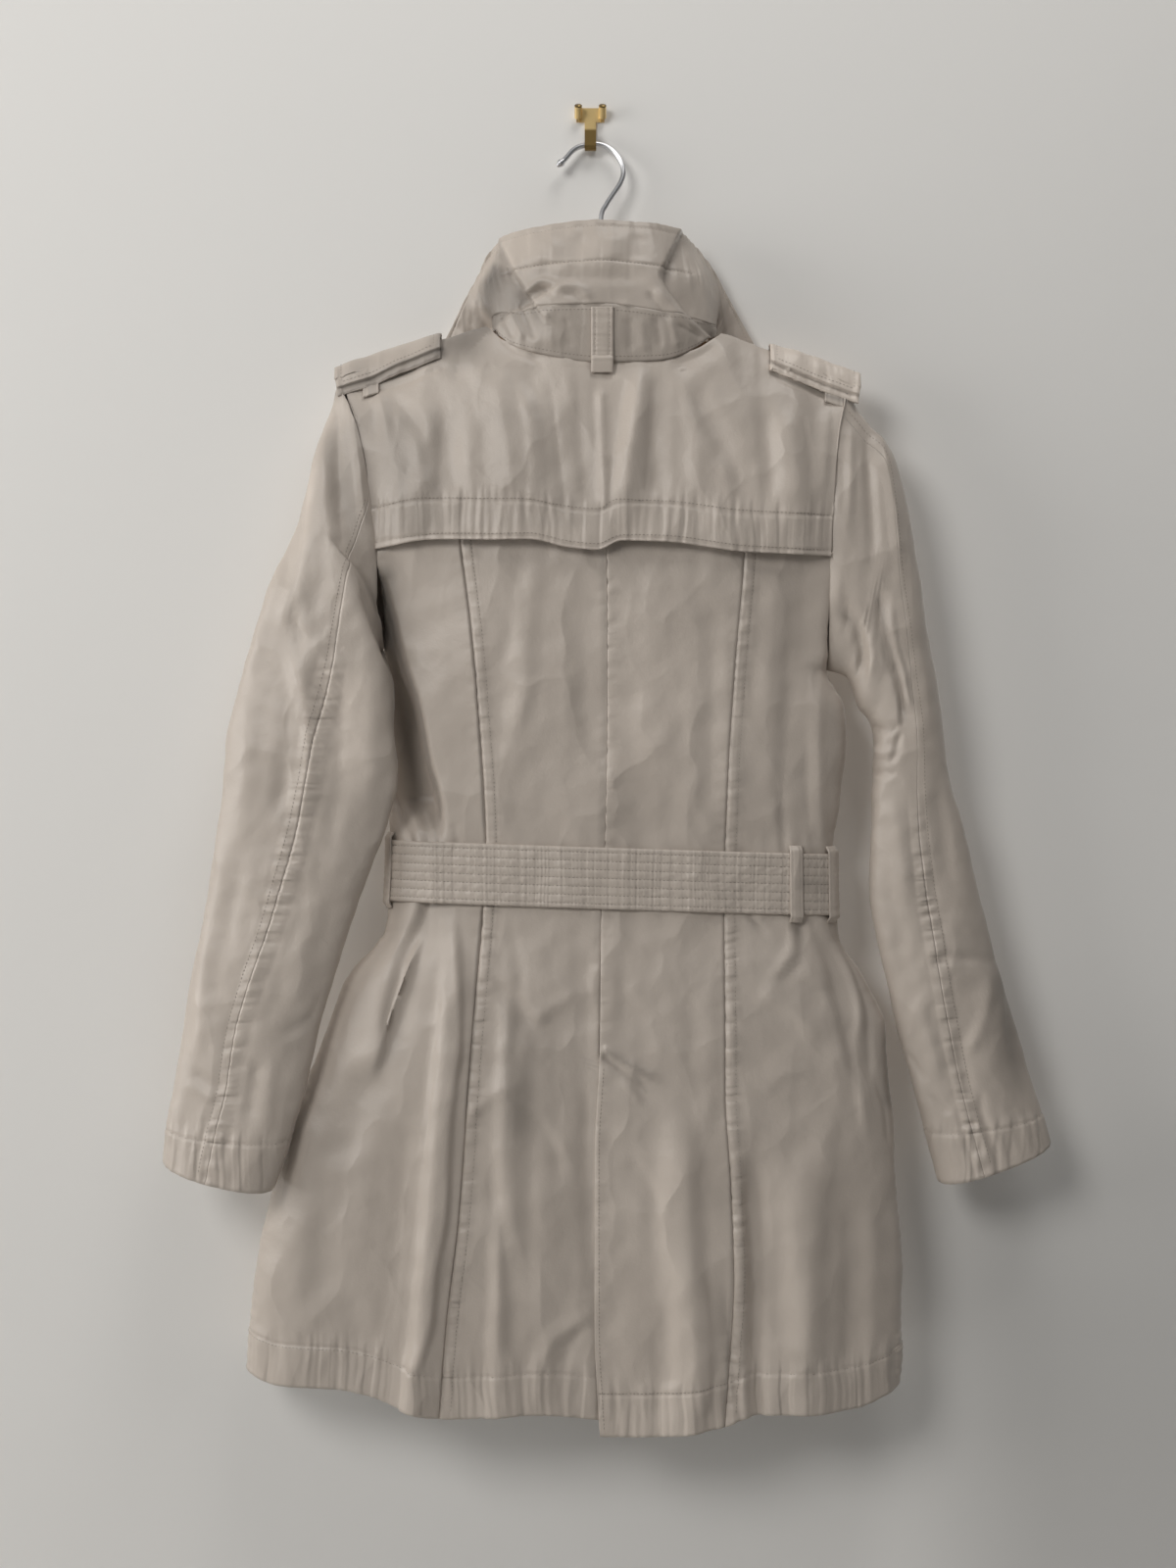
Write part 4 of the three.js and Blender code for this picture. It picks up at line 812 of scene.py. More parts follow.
# Fronts, closed right over left, with quiet folds of their own
overlap = {"right": -28, "left": 48, "sunk": 2.0, "flank": (48, 14)}
frontFolds = [
    (2.4, 18, 14, 0.1, 0.2, 0.3, [(-110, -230), (-104, -330), (-96, -430)]),
    (-1.8, 14, 16, 0.0, 0.2, 0.3, [(-70, -260), (-60, -360), (-52, -480)]),
    (2.2, 16, 14, 0.1, 0.2, 0.3, [(120, -240), (112, -340), (100, -470)]),
    (-1.6, 16, 14, 0.0, 0.3, 0.3, [(86, -300), (80, -420), (76, -540)]),
    (2.0, 10, 12, 0.3, 0.0, 0.3, [(-120, -636), (-132, -720), (-150, -860)]),
    (-2.2, 12, 16, 0.2, 0.0, 0.2, [(-84, -636), (-92, -760), (-104, -930)]),
    (2.4, 16, 12, 0.2, 0.1, 0.0, [(90, -650), (104, -780), (120, -990)]),
    (-2.0, 12, 14, 0.1, 0.1, 0.1, [(140, -660), (156, -790), (164, -960)]),
    (1.6, 12, 12, 0.1, 0.2, 0.1, [(30, -660), (26, -800), (20, -960)]),
]


# The left front lies under the right one: a soft step inwards where it is covered.
def underRight(x, z):
    start, end = overlap["flank"]
    return -overlap["sunk"] * step(x, overlap["right"] - start, overlap["right"] - end)


# Relief of a front: its folds where it lies flat, unevenness, the gathered hem band, the stitched lines of
# the band and of the closing edge.
def frontRelief(seed, edge):
    def relief(p, u, v):
        x, z = p[..., 0], p[..., 2]
        quiet = step(frontY(z) - p[..., 1], 20, 6)  # only where the front lies flat
        height = 0.55 * foldHeight(frontFolds, x, z) * quiet + 0.3 * unevenness(x, z * 0.6, 55, seed)
        over = z - hemFront(x) - hemBand["depth"]
        height += 0.8 * gathers(x, hemBand["pitch"], seed) * np.where(over > 0, bump(over, 0, 12), 0.6)
        return height - 0.6 * bump(over, 0, 1.2) - 0.5 * bump(x - edge, 0, 1.5)

    return relief


frontSide = {
    "front_left": (bodyLeft, lambda z: overlap["left"] + 0 * z, underRight, 6.1, overlap["left"]),
    "front_right": (lambda z: overlap["right"] + 0 * z, bodyRight, None, 7.3, overlap["right"]),
}
for name, (edgeFrom, edgeTo, sink, seed, edge) in frontSide.items():
    surface = relieved(panel(edgeFrom, edgeTo, frontTop, hemFront, 1, sink), frontRelief(seed, edge), -1)
    clothPiece(name, surface, spaced(46, [0, 1], 0.05, 1.5), spaced(130, [0.02, 0.965], 0.03, 2), -1)
print("fronts made")


# A point of the body, moved out along the body's normal by a distance.
def outFrom(x, z, distance, side=-1):
    def at(dx, dz):
        return bodyPoint(acrossAt(x + dx, z + dz), z + dz, side)

    across = at(0.02, 0) - at(-0.02, 0)
    down = at(0, -0.02) - at(0, np.minimum(0.02, shoulder(x) - z))
    n = np.cross(down, across) * -side
    n /= np.maximum(np.linalg.norm(n, axis=-1, keepdims=True), 1e-12)
    return at(0, 0) + n * np.asarray(distance)[..., None]


flap = {
    "lift": 2.6, "lowerLift": 8, "sideGap": 0.1, "neckDrop": 0.9, "neckBlend": 20, "band": 31, "pitch": 9,
    "rise": 0.6, "sideLift": 0.3, "width": 350, "crowd": 1.7, "liftPower": 1.5, "middle": -260, "level": -330,
    "edgeStitch": 4.5, "share": 0.5, "foldsFrom": (0.12, 0.45), "uneven": ((0.7, 0.6, 55, 12), (0.28, 0.8, 22, 13)),
}


# Storm flap: u runs from side to side and v from the top line to the hem, crowded by a power. Each point lies
# on the back, moved out by a lift that grows towards the hem and is small at both sides.
def flapBase(u, v):
    z, x = flap["middle"] + 0 * u, 0 * u
    for turn in range(3):
        x = mix(bodyLeft(z) + flap["sideGap"], bodyRight(z) - flap["sideGap"], u)
        inNeck = step(x, neckLeft - flap["neckBlend"], neckLeft)
        inNeck = inNeck * (1 - step(x, neckRight, neckRight + flap["neckBlend"]))
        z = mix(backTop(x) - 0.3 - flap["neckDrop"] * inNeck, hemFlap(x), v ** flap["crowd"])
    atSide = mix(flap["sideLift"], 1, step(np.minimum(u, 1 - u) * flap["width"], 0, 26))
    p = outFrom(x, z, mix(flap["lift"], flap["lowerLift"], v ** flap["liftPower"]) * atSide)
    p[..., 0] = np.clip(p[..., 0], bodyLeft(z) + flap["sideGap"], bodyRight(z) - flap["sideGap"])
    return p


flapFolds = [
    (-1.6, 3, 4, 0.5, 0.1, 0.1, [(-173, -233), (-163, -229), (-152, -226), (-129, -218), (-108, -209)]),
    (-1.6, 3, 4, 0.5, 0.1, 0.1, [(136, -212), (148, -222), (163, -228), (183, -234), (195, -239)]),
    (2.2, 9, 7, 0.3, 0.2, 0.5, [(-164, -228), (-158, -245), (-153, -282)]),
    (-1.8, 8, 10, 0.2, 0.2, 0.3, [(-153, -232), (-141, -245), (-128, -264), (-122, -305)]),
    (1.6, 12, 14, 0, 0.3, 0.2, [(-129, -252), (-128, -282), (-129, -314)]),
    (-2, 16, 14, 0, 0.3, 0.2, [(-111, -230), (-108, -268), (-105, -314)]),
    (2.6, 20, 14, 0.1, 0.3, 0.2, [(-77, -209), (-66, -252), (-60, -314)]),
    (-2.2, 12, 14, 0.1, 0.2, 0.2, [(-47, -209), (-36, -252), (-30, -316)]),
    (-1.4, 8, 9, 0.2, 0.2, 0.2, [(-11, -209), (-8, -260), (-3, -320)]),
    (2.4, 7, 6, 0.5, 0.1, 0.1, [(8, -224), (9, -268), (11, -322)]),
    (2.8, 11, 9, 0.2, 0.2, 0.15, [(39, -204), (34, -245), (25, -317)]),
    (-2.2, 9, 14, 0.1, 0.2, 0.2, [(51, -209), (49, -252), (49, -316)]),
    (1.6, 12, 14, 0.1, 0.3, 0.3, [(73, -209), (82, -260), (84, -316)]),
    (-2.4, 10, 16, 0.2, 0.2, 0.2, [(73, -221), (90, -252), (112, -290), (115, -320)]),
    (2, 18, 14, 0, 0.3, 0.2, [(148, -230), (154, -268), (157, -320)]),
    (-1.4, 10, 12, 0, 0.3, 0.3, [(129, -230), (135, -268), (138, -316)]),
    (1.4, 10, 6, 0.3, 0.2, 0.3, [(182, -236), (180, -268), (177, -316)]),
    (-1.2, 5, 12, 0.3, 0.2, 0.3, [(-71, -189), (-58, -200), (-32, -209)]),
    (-1.2, 5, 12, 0.3, 0.2, 0.3, [(99, -192), (82, -203), (58, -210)]),
]


# Relief of the flap: folds that start below the top line, unevenness, the gathered band, a step and a stitched
# line at its top, gathers at the neck, and a second line of stitches by the hem.
def flapRelief(p, u, v):
    a, b = seen(p)
    over = b - hemFlap(a) - flap["band"]
    waves = gathers(a - 0.1 * over, flap["pitch"], 2.6)
    strength = bandStrength(over, 12, 15, flap["share"])
    height = foldHeight(flapFolds, a, b) * step(v, 0, mix(*flap["foldsFrom"], step(np.abs(a - 5), 90, 125)))
    height += uneven(a, b, flap["uneven"])
    height += flap["rise"] * waves * strength * (0.7 + 0.3 * unevenness(a, 0 * a, 70, 14))
    height += 0.5 * (1 - step(over, -1, 1)) - 0.75 * bump(over, 0, 1.0)
    height += 0.2 * gathers(a, 13, 5.2) * bump(v, 0, 0.3)
    return height - 0.8 * bump(over, flap["edgeStitch"] - flap["band"], 0.9)


# Tucks side by side over the flap's band.
def flapTucks(p, u, v):
    over = p[..., 2] - hemFlap(p[..., 0]) - flap["band"]
    return np.where(over > 0, bump(over, 0, 8), 1.0) * 0.75, 0


flapAcross, flapDown = spaced(190, [0, 1], 0.01, 2), spaced(84, [0.87, 1], 0.03, 2)
clothPiece("storm_flap", relieved(flapBase, flapRelief), flapAcross, flapDown, tucks=flapTucks)
print("storm flap made")

# Sleeves: rings from the armhole to the cuff, each from its outer to its inner edge
ringNames = "outX outZ outY inX inZ inY half seam sag"
sleeveRows = {
    "left": table(ringNames, [
        (-194, -213, -37, -161, -424, -30, 25, 84, 0),
        (-203, -225, -37, -165, -426, -34, 26, 92, 0),
        (-208, -247, -38, -163, -431, -40, 26, 95, 0),
        (-212, -276, -41, -157, -440, -48, 25, 92, 0),
        (-218, -310, -45, -151, -454, -54, 24, 88, 0),
        (-236, -353, -49, -150, -473, -57, 22, 91, 0),
        (-249, -383, -52, -150, -492, -58, 21, 93, 1),
        (-260, -421, -52, -148, -515, -57, 21, 91, 1),
        (-270, -456, -53, -149, -534, -58, 21, 90, 2),
        (-280, -496, -54, -155, -559, -58, 20, 91, 2),
        (-283, -534, -54, -164, -584, -59, 20, 91, 2),
        (-289, -579, -55, -173, -609, -60, 20, 90, 3),
        (-296, -631, -56, -184, -639, -61, 20, 88, 3),
        (-305, -672, -57, -196, -678, -62, 20, 85, 3),
        (-312, -717, -58, -208, -719, -63, 20, 82, 4),
        (-318, -759, -60, -217, -760, -65, 20, 83, 5),
        (-323, -786, -61, -225, -791, -67, 21, 82, 6),
        (-326, -816, -62, -240, -836, -68, 22, 83, 7),
    ]),
    "right": table(ringNames, [
        (202, -217, -37, 183, -441, -37, 25, 40, 0),
        (218, -241, -38, 191, -443, -38, 26, 34, 0),
        (229, -260, -39, 199, -446, -39, 26, 36, 0),
        (237, -283, -40, 203, -456, -40, 25, 54, 0),
        (247, -325, -41, 208, -471, -41, 24, 68, 0),
        (255, -371, -42, 217, -483, -42, 23, 76, 0),
        (261, -416, -42, 220, -503, -42, 22, 79, 1),
        (270, -465, -42, 219, -526, -42, 21, 81, 1),
        (277, -522, -42, 217, -560, -42, 21, 86, 2),
        (289, -564, -42, 216, -591, -42, 20, 90, 2),
        (297, -601, -42, 216, -617, -42, 20, 90, 2),
        (306, -635, -42, 220, -644, -42, 20, 91, 3),
        (318, -682, -42, 230, -686, -42, 20, 95, 3),
        (329, -714, -42, 238, -724, -42, 20, 98, 3),
        (340, -754, -42, 248, -758, -42, 20, 101, 4),
        (347, -777, -42, 256, -787, -42, 21, 102, 5),
        (355, -806, -42, 268, -836, -42, 22, 101, 6),
    ]),
}
arm = {
    "frontSeam": 285, "round": 2.3, "gap": 0.2, "head": 0.18, "length": 600, "around": 128, "cuff": 29, "cuffPitch": 10,
    "cuffRise": 0.8, "headRise": {"left": 2.2, "right": 0.5},
    "puckersFrom": {"left": (0.27, 0.4), "right": (0.46, 0.6)}, "share": 0.45,
    "uneven": ((0.7, 0.6, 46, 6), (0.26, 0.8, 19, 7)),
}


# A ring is a superellipse between its outer and inner edge; a turn of 0 is the outer edge, 90 the back and
# 180 the inner edge. From the armhole the sleeve's head turns over a quarter of a sine wave.
def sleeve(side):
    rows = dict(sleeveRows[side], at=np.linspace(0, 1, len(sleeveRows[side]["outX"])))
    read = {name: curve(rows, "at", name) for name in ringNames.split()}
    armX, outward = (bodyLeft, -1) if side == "left" else (bodyRight, 1)

    def ring(turn, v):
        power = 2 / mix(2, arm["round"], step(v, 0, arm["head"]))
        c, s = np.cos(np.radians(turn)), np.sin(np.radians(turn))
        c, s = np.sign(c) * np.abs(c) ** power, np.sign(s) * np.abs(s) ** power
        t = (1 + c) / 2
        z = mix(read["inZ"](v), read["outZ"](v), t) - read["sag"](v) * s
        turned = np.sin(math.pi / 2 * np.minimum(1, v / arm["head"]))
        x = mix(armX(z) + outward * arm["gap"], mix(read["inX"](v), read["outX"](v), t), turned)
        return np.stack([x, mix(read["inY"](v), read["outY"](v), t) - read["half"](v) * s, z], axis=-1)

    return ring, read["seam"]


sleeveFolds = {"left": [
    (4.2, 10, 20, 0.35, 0.3, 0.2, [
        (-204, -252), (-212, -282), (-216, -312), (-220, -350), (-225, -380), (-233, -401), (-239, -418),
    ]),
    (-4, 10, 14, 0.2, 0.2, 0.2, [(-195, -230), (-194, -275), (-192, -320), (-188, -350)]),
    (2, 6, 6, 0.3, 0.3, 0.2, [(-180, -260), (-176, -298), (-173, -335)]),
    (-5, 2.6, 20, 0.3, 0.15, 0.25, [(-201, -339), (-189, -352), (-176, -365), (-167, -382), (-158, -410)]),
    (-2.4, 8, 5, 0.4, 0.2, 0.2, [(-222, -384), (-227, -406), (-221, -416), (-227, -431)]),
    (4, 9, 16, 0.4, 0.2, 0.2, [(-228, -419), (-225, -443), (-219, -467), (-216, -500), (-219, -530), (-227, -562)]),
    (-2.2, 10, 9, 0.2, 0.2, 0.2, [(-234, -448), (-233, -478), (-234, -522), (-242, -560)]),
    (1.8, 14, 12, 0.1, 0.3, 0.3, [(-255, -440), (-263, -485), (-264, -530), (-272, -590)]),
    (-1.6, 12, 10, 0.1, 0.3, 0.3, [(-264, -575), (-275, -620), (-282, -672)]),
    (1.8, 8, 10, 0.3, 0.3, 0.3, [(-291, -628), (-297, -680), (-300, -725), (-303, -755)]),
    (2.2, 14, 12, 0.1, 0.3, 0.3, [(-170, -410), (-167, -470), (-168, -522), (-182, -575)]),
    (-2, 12, 10, 0.1, 0.3, 0.3, [(-189, -440), (-191, -500), (-197, -560), (-210, -605)]),
    (1.6, 12, 12, 0.1, 0.3, 0.3, [(-204, -590), (-215, -642), (-227, -695), (-240, -725)]),
    (-1.9, 7, 8, 0.4, 0.2, 0.3, [(-204, -684), (-212, -706), (-224, -716), (-233, -722), (-236, -731)]),
    (-2, 5, 6, 0.5, 0.2, 0.3, [(-305, -748), (-293, -758), (-284, -762), (-273, -758)]),
    (1.6, 5, 5, 0.5, 0.2, 0.3, [(-309, -758), (-296, -768), (-284, -773)]),
    (-1.8, 8, 8, 0.2, 0.2, 0.3, [(-255, -740), (-258, -762), (-263, -792)]),
    (1.5, 8, 8, 0.2, 0.2, 0.3, [(-242, -740), (-246, -770), (-251, -804)]),
    (-1.6, 8, 8, 0.2, 0.3, 0.3, [(-227, -290), (-233, -328), (-240, -358)]),
    (1.8, 10, 8, 0.2, 0.3, 0.3, [(-249, -395), (-255, -425), (-264, -455)]),
], "right": [
    (2.4, 7, 7, 0.4, 0.2, 0.3, [(219, -252), (227, -290), (234, -335), (238, -380)]),
    (-2.8, 7, 7, 0.3, 0.2, 0.3, [(211, -252), (213, -290), (216, -335), (217, -372)]),
    (1.8, 6, 6, 0.3, 0.3, 0.3, [(199, -252), (199, -290), (198, -335)]),
    (-5, 3, 9, 0.5, 0.1, 0.2, [(183, -392), (193, -398), (202, -413), (206, -431), (204, -449)]),
    (3.4, 5, 9, 0.5, 0.1, 0.2, [(183, -383), (198, -389), (210, -407), (216, -431), (213, -458)]),
    (-4.4, 3, 12, 0.4, 0.1, 0.2, [(218, -380), (222, -407), (228, -428), (234, -448), (238, -467), (239, -494)]),
    (2.6, 6, 5, 0.5, 0.2, 0.2, [(228, -388), (232, -418), (240, -448), (246, -478)]),
    (-2.6, 4, 6, 0.6, 0.1, 0.3, [(214, -486), (225, -489), (240, -486)]),
    (-2.2, 4, 5, 0.6, 0.2, 0.3, [(237, -489), (234, -502), (230, -516)]),
    (-2, 4, 6, 0.5, 0.1, 0.3, [(213, -520), (225, -522), (237, -522)]),
    (2, 6, 5, 0.4, 0.2, 0.2, [(216, -503), (226, -506), (237, -503)]),
    (1.6, 8, 8, 0.3, 0.3, 0.3, [(249, -410), (256, -455), (262, -500)]),
    (-1.8, 10, 8, 0.1, 0.3, 0.3, [(264, -515), (270, -568), (279, -620)]),
    (1.6, 12, 10, 0.1, 0.3, 0.3, [(231, -530), (237, -582), (243, -635)]),
    (-1.6, 8, 10, 0.1, 0.3, 0.3, [(227, -590), (235, -642), (243, -688)]),
    (-2.4, 5, 9, 0.4, 0.2, 0.3, [(259, -668), (277, -664), (298, -665), (312, -670)]),
    (2.4, 9, 7, 0.4, 0.2, 0.2, [(304, -669), (306, -689), (300, -712), (293, -728), (286, -738)]),
    (-2.2, 8, 10, 0.2, 0.2, 0.2, [(318, -680), (321, -710), (327, -740), (334, -762)]),
    (-1.9, 5, 5, 0.5, 0.2, 0.2, [(298, -762), (300, -785), (306, -804), (313, -819)]),
    (-1.9, 4, 5, 0.6, 0.2, 0.3, [(240, -734), (249, -746), (258, -760)]),
    (-1.7, 4, 5, 0.6, 0.2, 0.3, [(261, -767), (268, -776), (276, -785)]),
    (1.8, 9, 8, 0.2, 0.3, 0.3, [(249, -688), (259, -725), (270, -762)]),
    (-1.6, 8, 8, 0.2, 0.3, 0.3, [(279, -718), (285, -748), (291, -778)]),
]}
sleeveRing = {side: sleeve(side) for side in ("left", "right")}


# The turn round a sleeve at u: from the front seam to the back seam on the top sleeve, whose back edge is at
# u = 1, and from the back seam to the front seam on the under sleeve.
def sleeveTurn(side, u, v, backEdge):
    seam = sleeveRing[side][1](v)
    start, end = (arm["frontSeam"] - 360, seam) if backEdge == 1 else (seam, arm["frontSeam"])
    return mix(start, end, u)


# Relief of a sleeve piece: its folds on the outer side of the wall, the puckered back seam, and the cuff band.
def sleeveRelief(side, backEdge):
    def relief(p, u, v):
        a, b = seen(p)
        length = arm["length"] * (1 - v)
        fromSeam = np.abs(u - backEdge) * arm["around"]
        turnedBack = step(np.sin(np.radians(sleeveTurn(side, u, v, backEdge))), -0.15, 0.35)
        height = foldHeight(sleeveFolds[side], a, b) * turnedBack
        height += uneven(a, b, arm["uneven"])
        seamOn = step(v, *arm["puckersFrom"][side])
        waves = gathers(length + 0.2 * fromSeam, 10, 1.7) + 0.6 * gathers(length, 17, 4.7)
        height += 0.8 * waves * bump(fromSeam, 1, 4) * seamOn
        height -= 0.3 * bump(fromSeam, 6, 0.9) * seamOn
        height += arm["headRise"][side] * turnedBack * (1 - step(v, 0.02, 0.12)) * step(p[..., 2], -400, -340)
        over = length - arm["cuff"]
        around = 60 + mix(-1, 1, backEdge == 0) * fromSeam
        height += arm["cuffRise"] * gathers(around, arm["cuffPitch"], 3.7) * bandStrength(over, 12, 12, arm["share"])
        height += 0.5 * (1 - step(over, -1, 1)) - 0.8 * bump(over, 0, 1.1)
        height += 0.4 * gathers(around, 16, 6.7) * bump(v, 0.03, 0.05)
        return height

    return relief


# Tucks side by side over the cuff band, and down the puckered back seam.
def sleeveTucks(side, backEdge):
    def tucks(p, u, v):
        over = arm["length"] * (1 - v) - arm["cuff"]
        seam = bump(np.abs(u - backEdge) * arm["around"], 1, 3.6) * step(v, *arm["puckersFrom"][side]) * (over > 0)
        return np.where(over > 0, bump(over, 0, 8), 0.9), 1.1 * seam

    return tucks


for side, way in (("left", 1), ("right", -1)):
    for part, backEdge in (("top", 1), ("under", 0)):

        def base(u, v, side=side, backEdge=backEdge):
            return sleeveRing[side][0](sleeveTurn(side, u, v, backEdge), v)

        surface = relieved(base, sleeveRelief(side, backEdge), way)
        across, down = spaced(46, [backEdge], 0.08, 3), spaced(240, [0.01, 0.952], 0.03, 1)
        clothPiece(f"{part}_sleeve_{side}", surface, across, down, way, tucks=sleeveTucks(side, backEdge))
print("sleeves made")


# Collar, worn up: stations round the neck with the neck seam, the roll and the outer edge
collarRows = table("neckX neckY neckZ rollX rollY rollZ edgeX edgeY edgeZ", [
    (-42, -11, -249, -50, -10, -228, -122, -11, -194),
    (-69, -17, -197, -70, -16, -183, -110, -12, -170),
    (-76, -36, -175, -77, -30, -165, -93, -13, -137),
    (-73, -47, -179, -72, -47, -165, -80, -17, -111),
    (-61, -56, -190, -58, -59, -166, -70, -30, -103),
    (-38, -61, -197, -38, -65, -165, -42, -50, -101),
    (7, -63, -203, 7, -68, -164, 7, -57, -97),
    (52, -62, -202, 51, -67, -169, 44, -52, -98),
    (79, -57, -193.5, 78, -61, -172, 70, -36, -98),
    (94, -48, -183, 94, -49, -174, 80, -22, -103),
    (98, -36, -180, 99, -30, -172, 94, -15, -121),
    (90, -17, -199, 91, -16, -186, 112, -12, -152),
    (63, -11, -251, 70, -10, -232, 134, -11, -191),
])
collarShape = {
    "bulge": 4, "standBulge": 0.5, "wall": 1.6, "band": 0.5, "centreX": 11, "centreY": -33, "long": 460, "tall": 60,
    "deep": 68, "edgeStitch": 5, "standLong": 330, "standTall": 30, "standDeep": 38, "standEnd": 1.12,
    "uneven": ((0.6, 1, 50, 21), (0.25, 1, 18, 22)), "wings": ((0.31, 0.35), (0.66, 0.7)),
}


# The wings lie nearer the wall than the collar's back: steps that come back over a wide flank.
wingSteps = [
    (9, 36, 2.2, 0.15, 0, 0, [(-75, -108), (-66, -125), (-59, -139), (-47, -156)]),
    (7, 30, 2.2, 0.15, 0, 0, [(-38, -155), (-50, -161), (-62, -168), (-78, -184)]),
    (9, 2.2, 40, 0.15, 0, 0, [(76, -96), (66, -118), (56, -138), (58, -148), (67, -160), (78, -172), (94, -188)]),
]


# Collar pieces between two of the stations' lines: u runs through the stations, v straight from the high line
# to the low one, and between them the cloth swells away from the neck by half a sine wave.
def collarBase(high, low, bulge, end=1.0):
    rows = dict(collarRows, at=np.linspace(0, 1, len(collarRows["neckX"])))
    top = [curve(rows, "at", high + axis) for axis in "XYZ"]
    foot = [curve(rows, "at", low + axis) for axis in "XYZ"]

    def base(u, v):
        t = end * v
        x, y, z = (mix(upper(u), lower(u), t) for upper, lower in zip(top, foot))
        away = np.stack([x - collarShape["centreX"], (y - collarShape["centreY"]) * 2], axis=-1)
        away /= np.linalg.norm(away, axis=-1, keepdims=True)
        swell = bulge * np.sin(math.pi * t)
        p = np.stack([x + away[..., 0] * swell, y + away[..., 1] * swell, z], axis=-1)
        p[..., 1] += foldHeight(wingSteps, *seen(p)) * step(-p[..., 1], 12, 22)
        return p

    return base


collarFolds = [
    (2.6, 6, 4, 0.5, 0.1, 0.3, [(-50, -155), (-42, -147), (-35, -144), (-27, -148)]),
    (-2.8, 3, 5, 0.6, 0.1, 0.3, [(-47, -156), (-39, -152), (-33, -153), (-30, -158)]),
    (2, 5, 5, 0.5, 0.2, 0.2, [(-35, -146), (-21, -148), (-8, -150), (1, -161)]),
    (-1.6, 8, 9, 0.2, 0.2, 0.2, [(-27, -142), (7, -142), (43, -143)]),
    (-1.6, 5, 5, 0.4, 0.2, 0.2, [(-23, -154), (-12, -156), (-3, -164)]),
    (1.8, 6, 3, 0.5, 0.2, 0.2, [(49, -149), (60, -161), (70, -172), (82, -184)]),
    (-2.2, 5, 4, 0.4, 0.2, 0.2, [(43, -152), (52, -164), (61, -176)]),
    (-1.6, 4, 4, 0.5, 0.2, 0.2, [(66, -178), (76, -182), (87, -190)]),
    (1.2, 8, 8, 0.2, 0.2, 0.2, [(90, -126), (102, -149), (115, -174)]),
    (1.2, 8, 8, 0.2, 0.2, 0.2, [(-83, -138), (-92, -160), (-102, -180)]),
    (1.6, 18, 14, 0, 0.3, 0.3, [(-32, -110), (-35, -124), (-36, -134)]),
    (-1.4, 14, 14, 0, 0.3, 0.3, [(-9, -108), (-11, -122), (-11, -132)]),
    (1.3, 14, 14, 0, 0.3, 0.3, [(16, -106), (15, -120), (16, -131)]),
    (-1.4, 14, 14, 0, 0.3, 0.3, [(37, -107), (36, -120), (36, -132)]),
    (-2, 4, 5, 0.4, 0.1, 0.2, [(-54, -164), (-47, -178), (-42, -192)]),
    (1.8, 4, 4, 0.4, 0.1, 0.2, [(-62, -168), (-56, -180), (-51, -191)]),
    (-1.8, 4, 4, 0.4, 0.1, 0.2, [(-68, -173), (-63, -182), (-60, -190)]),
    (1.6, 5, 5, 0.3, 0.1, 0.2, [(-35, -168), (-32, -182), (-29, -197)]),
    (-1.5, 4, 5, 0.3, 0.2, 0.2, [(-20, -172), (-18, -185), (-17, -198)]),
    (-1.6, 4, 5, 0.3, 0.2, 0.2, [(28, -172), (30, -185), (31, -200)]),
    (1.5, 5, 5, 0.3, 0.2, 0.2, [(39, -172), (40, -186), (42, -200)]),
    (-1.8, 4, 4, 0.4, 0.2, 0.2, [(49, -170), (52, -184), (54, -198)]),
    (1.6, 4, 4, 0.4, 0.2, 0.2, [(61, -172), (64, -185), (67, -197)]),
]


# Relief of the fall: the collar's folds, unevenness, gathers along its edge and its middle line, and stitched
# lines along both.
def fallRelief(p, u, v):
    a, b = seen(p)
    run, down, band = u * collarShape["long"], v * collarShape["tall"], collarShape["band"]
    height = foldHeight(collarFolds, a, b) * step(-p[..., 1], 8, 14)
    height += uneven(run, down, collarShape["uneven"])
    height += 0.35 * gathers(run, 13, 3.1) * bump(v, 0, 0.25)
    height += 0.4 * gathers(run, 14, 1.3) * bump(v, band, 0.12)
    leftWing, rightWing = collarShape["wings"]
    betweenWings = step(u, *leftWing) * (1 - step(u, *rightWing))
    height -= 0.7 * bump((v - band) * collarShape["deep"], 0, 1.1) * betweenWings
    return height - 0.6 * bump(v * collarShape["deep"], collarShape["edgeStitch"], 1.0)


# Relief of the stand: gathers by the neck seam, unevenness, the collar's folds and a groove under the roll.
def standRelief(p, u, v):
    a, b = seen(p)
    run, down = u * collarShape["standLong"], v * collarShape["standTall"]
    height = 0.3 * gathers(run, 14, 2.2) * bump(v, 1, 0.5) + 0.3 * unevenness(run, down, 30, 23)
    seam = 0.7 * bump(v * collarShape["standDeep"], 1.5, 1.1) * bump(p[..., 0], 8, 40)
    return height + foldHeight(collarFolds, a, b) - seam


# The light values paint the fall a little darker and the stand darker still: painted shade over each whole piece.
clothPiece(
    "collar_fall", relieved(collarBase("edge", "roll", collarShape["bulge"]), fallRelief), spaced(210),
    spaced(52, [0, collarShape["band"]], 0.05, 2), wall=collarShape["wall"], light=0.96,
    tucks=lambda p, u, v: (0.3 * bump(v, 0, 0.45) + 0.3 * bump(v, collarShape["band"], 0.2), 0),
)
standBase = collarBase("roll", "neck", collarShape["standBulge"], collarShape["standEnd"])
clothPiece(
    "collar_stand", relieved(standBase, standRelief), spaced(170), spaced(22), wall=collarShape["wall"], light=0.85,
    tucks=lambda p, u, v: (0.25, 0),
)
print("collar made")

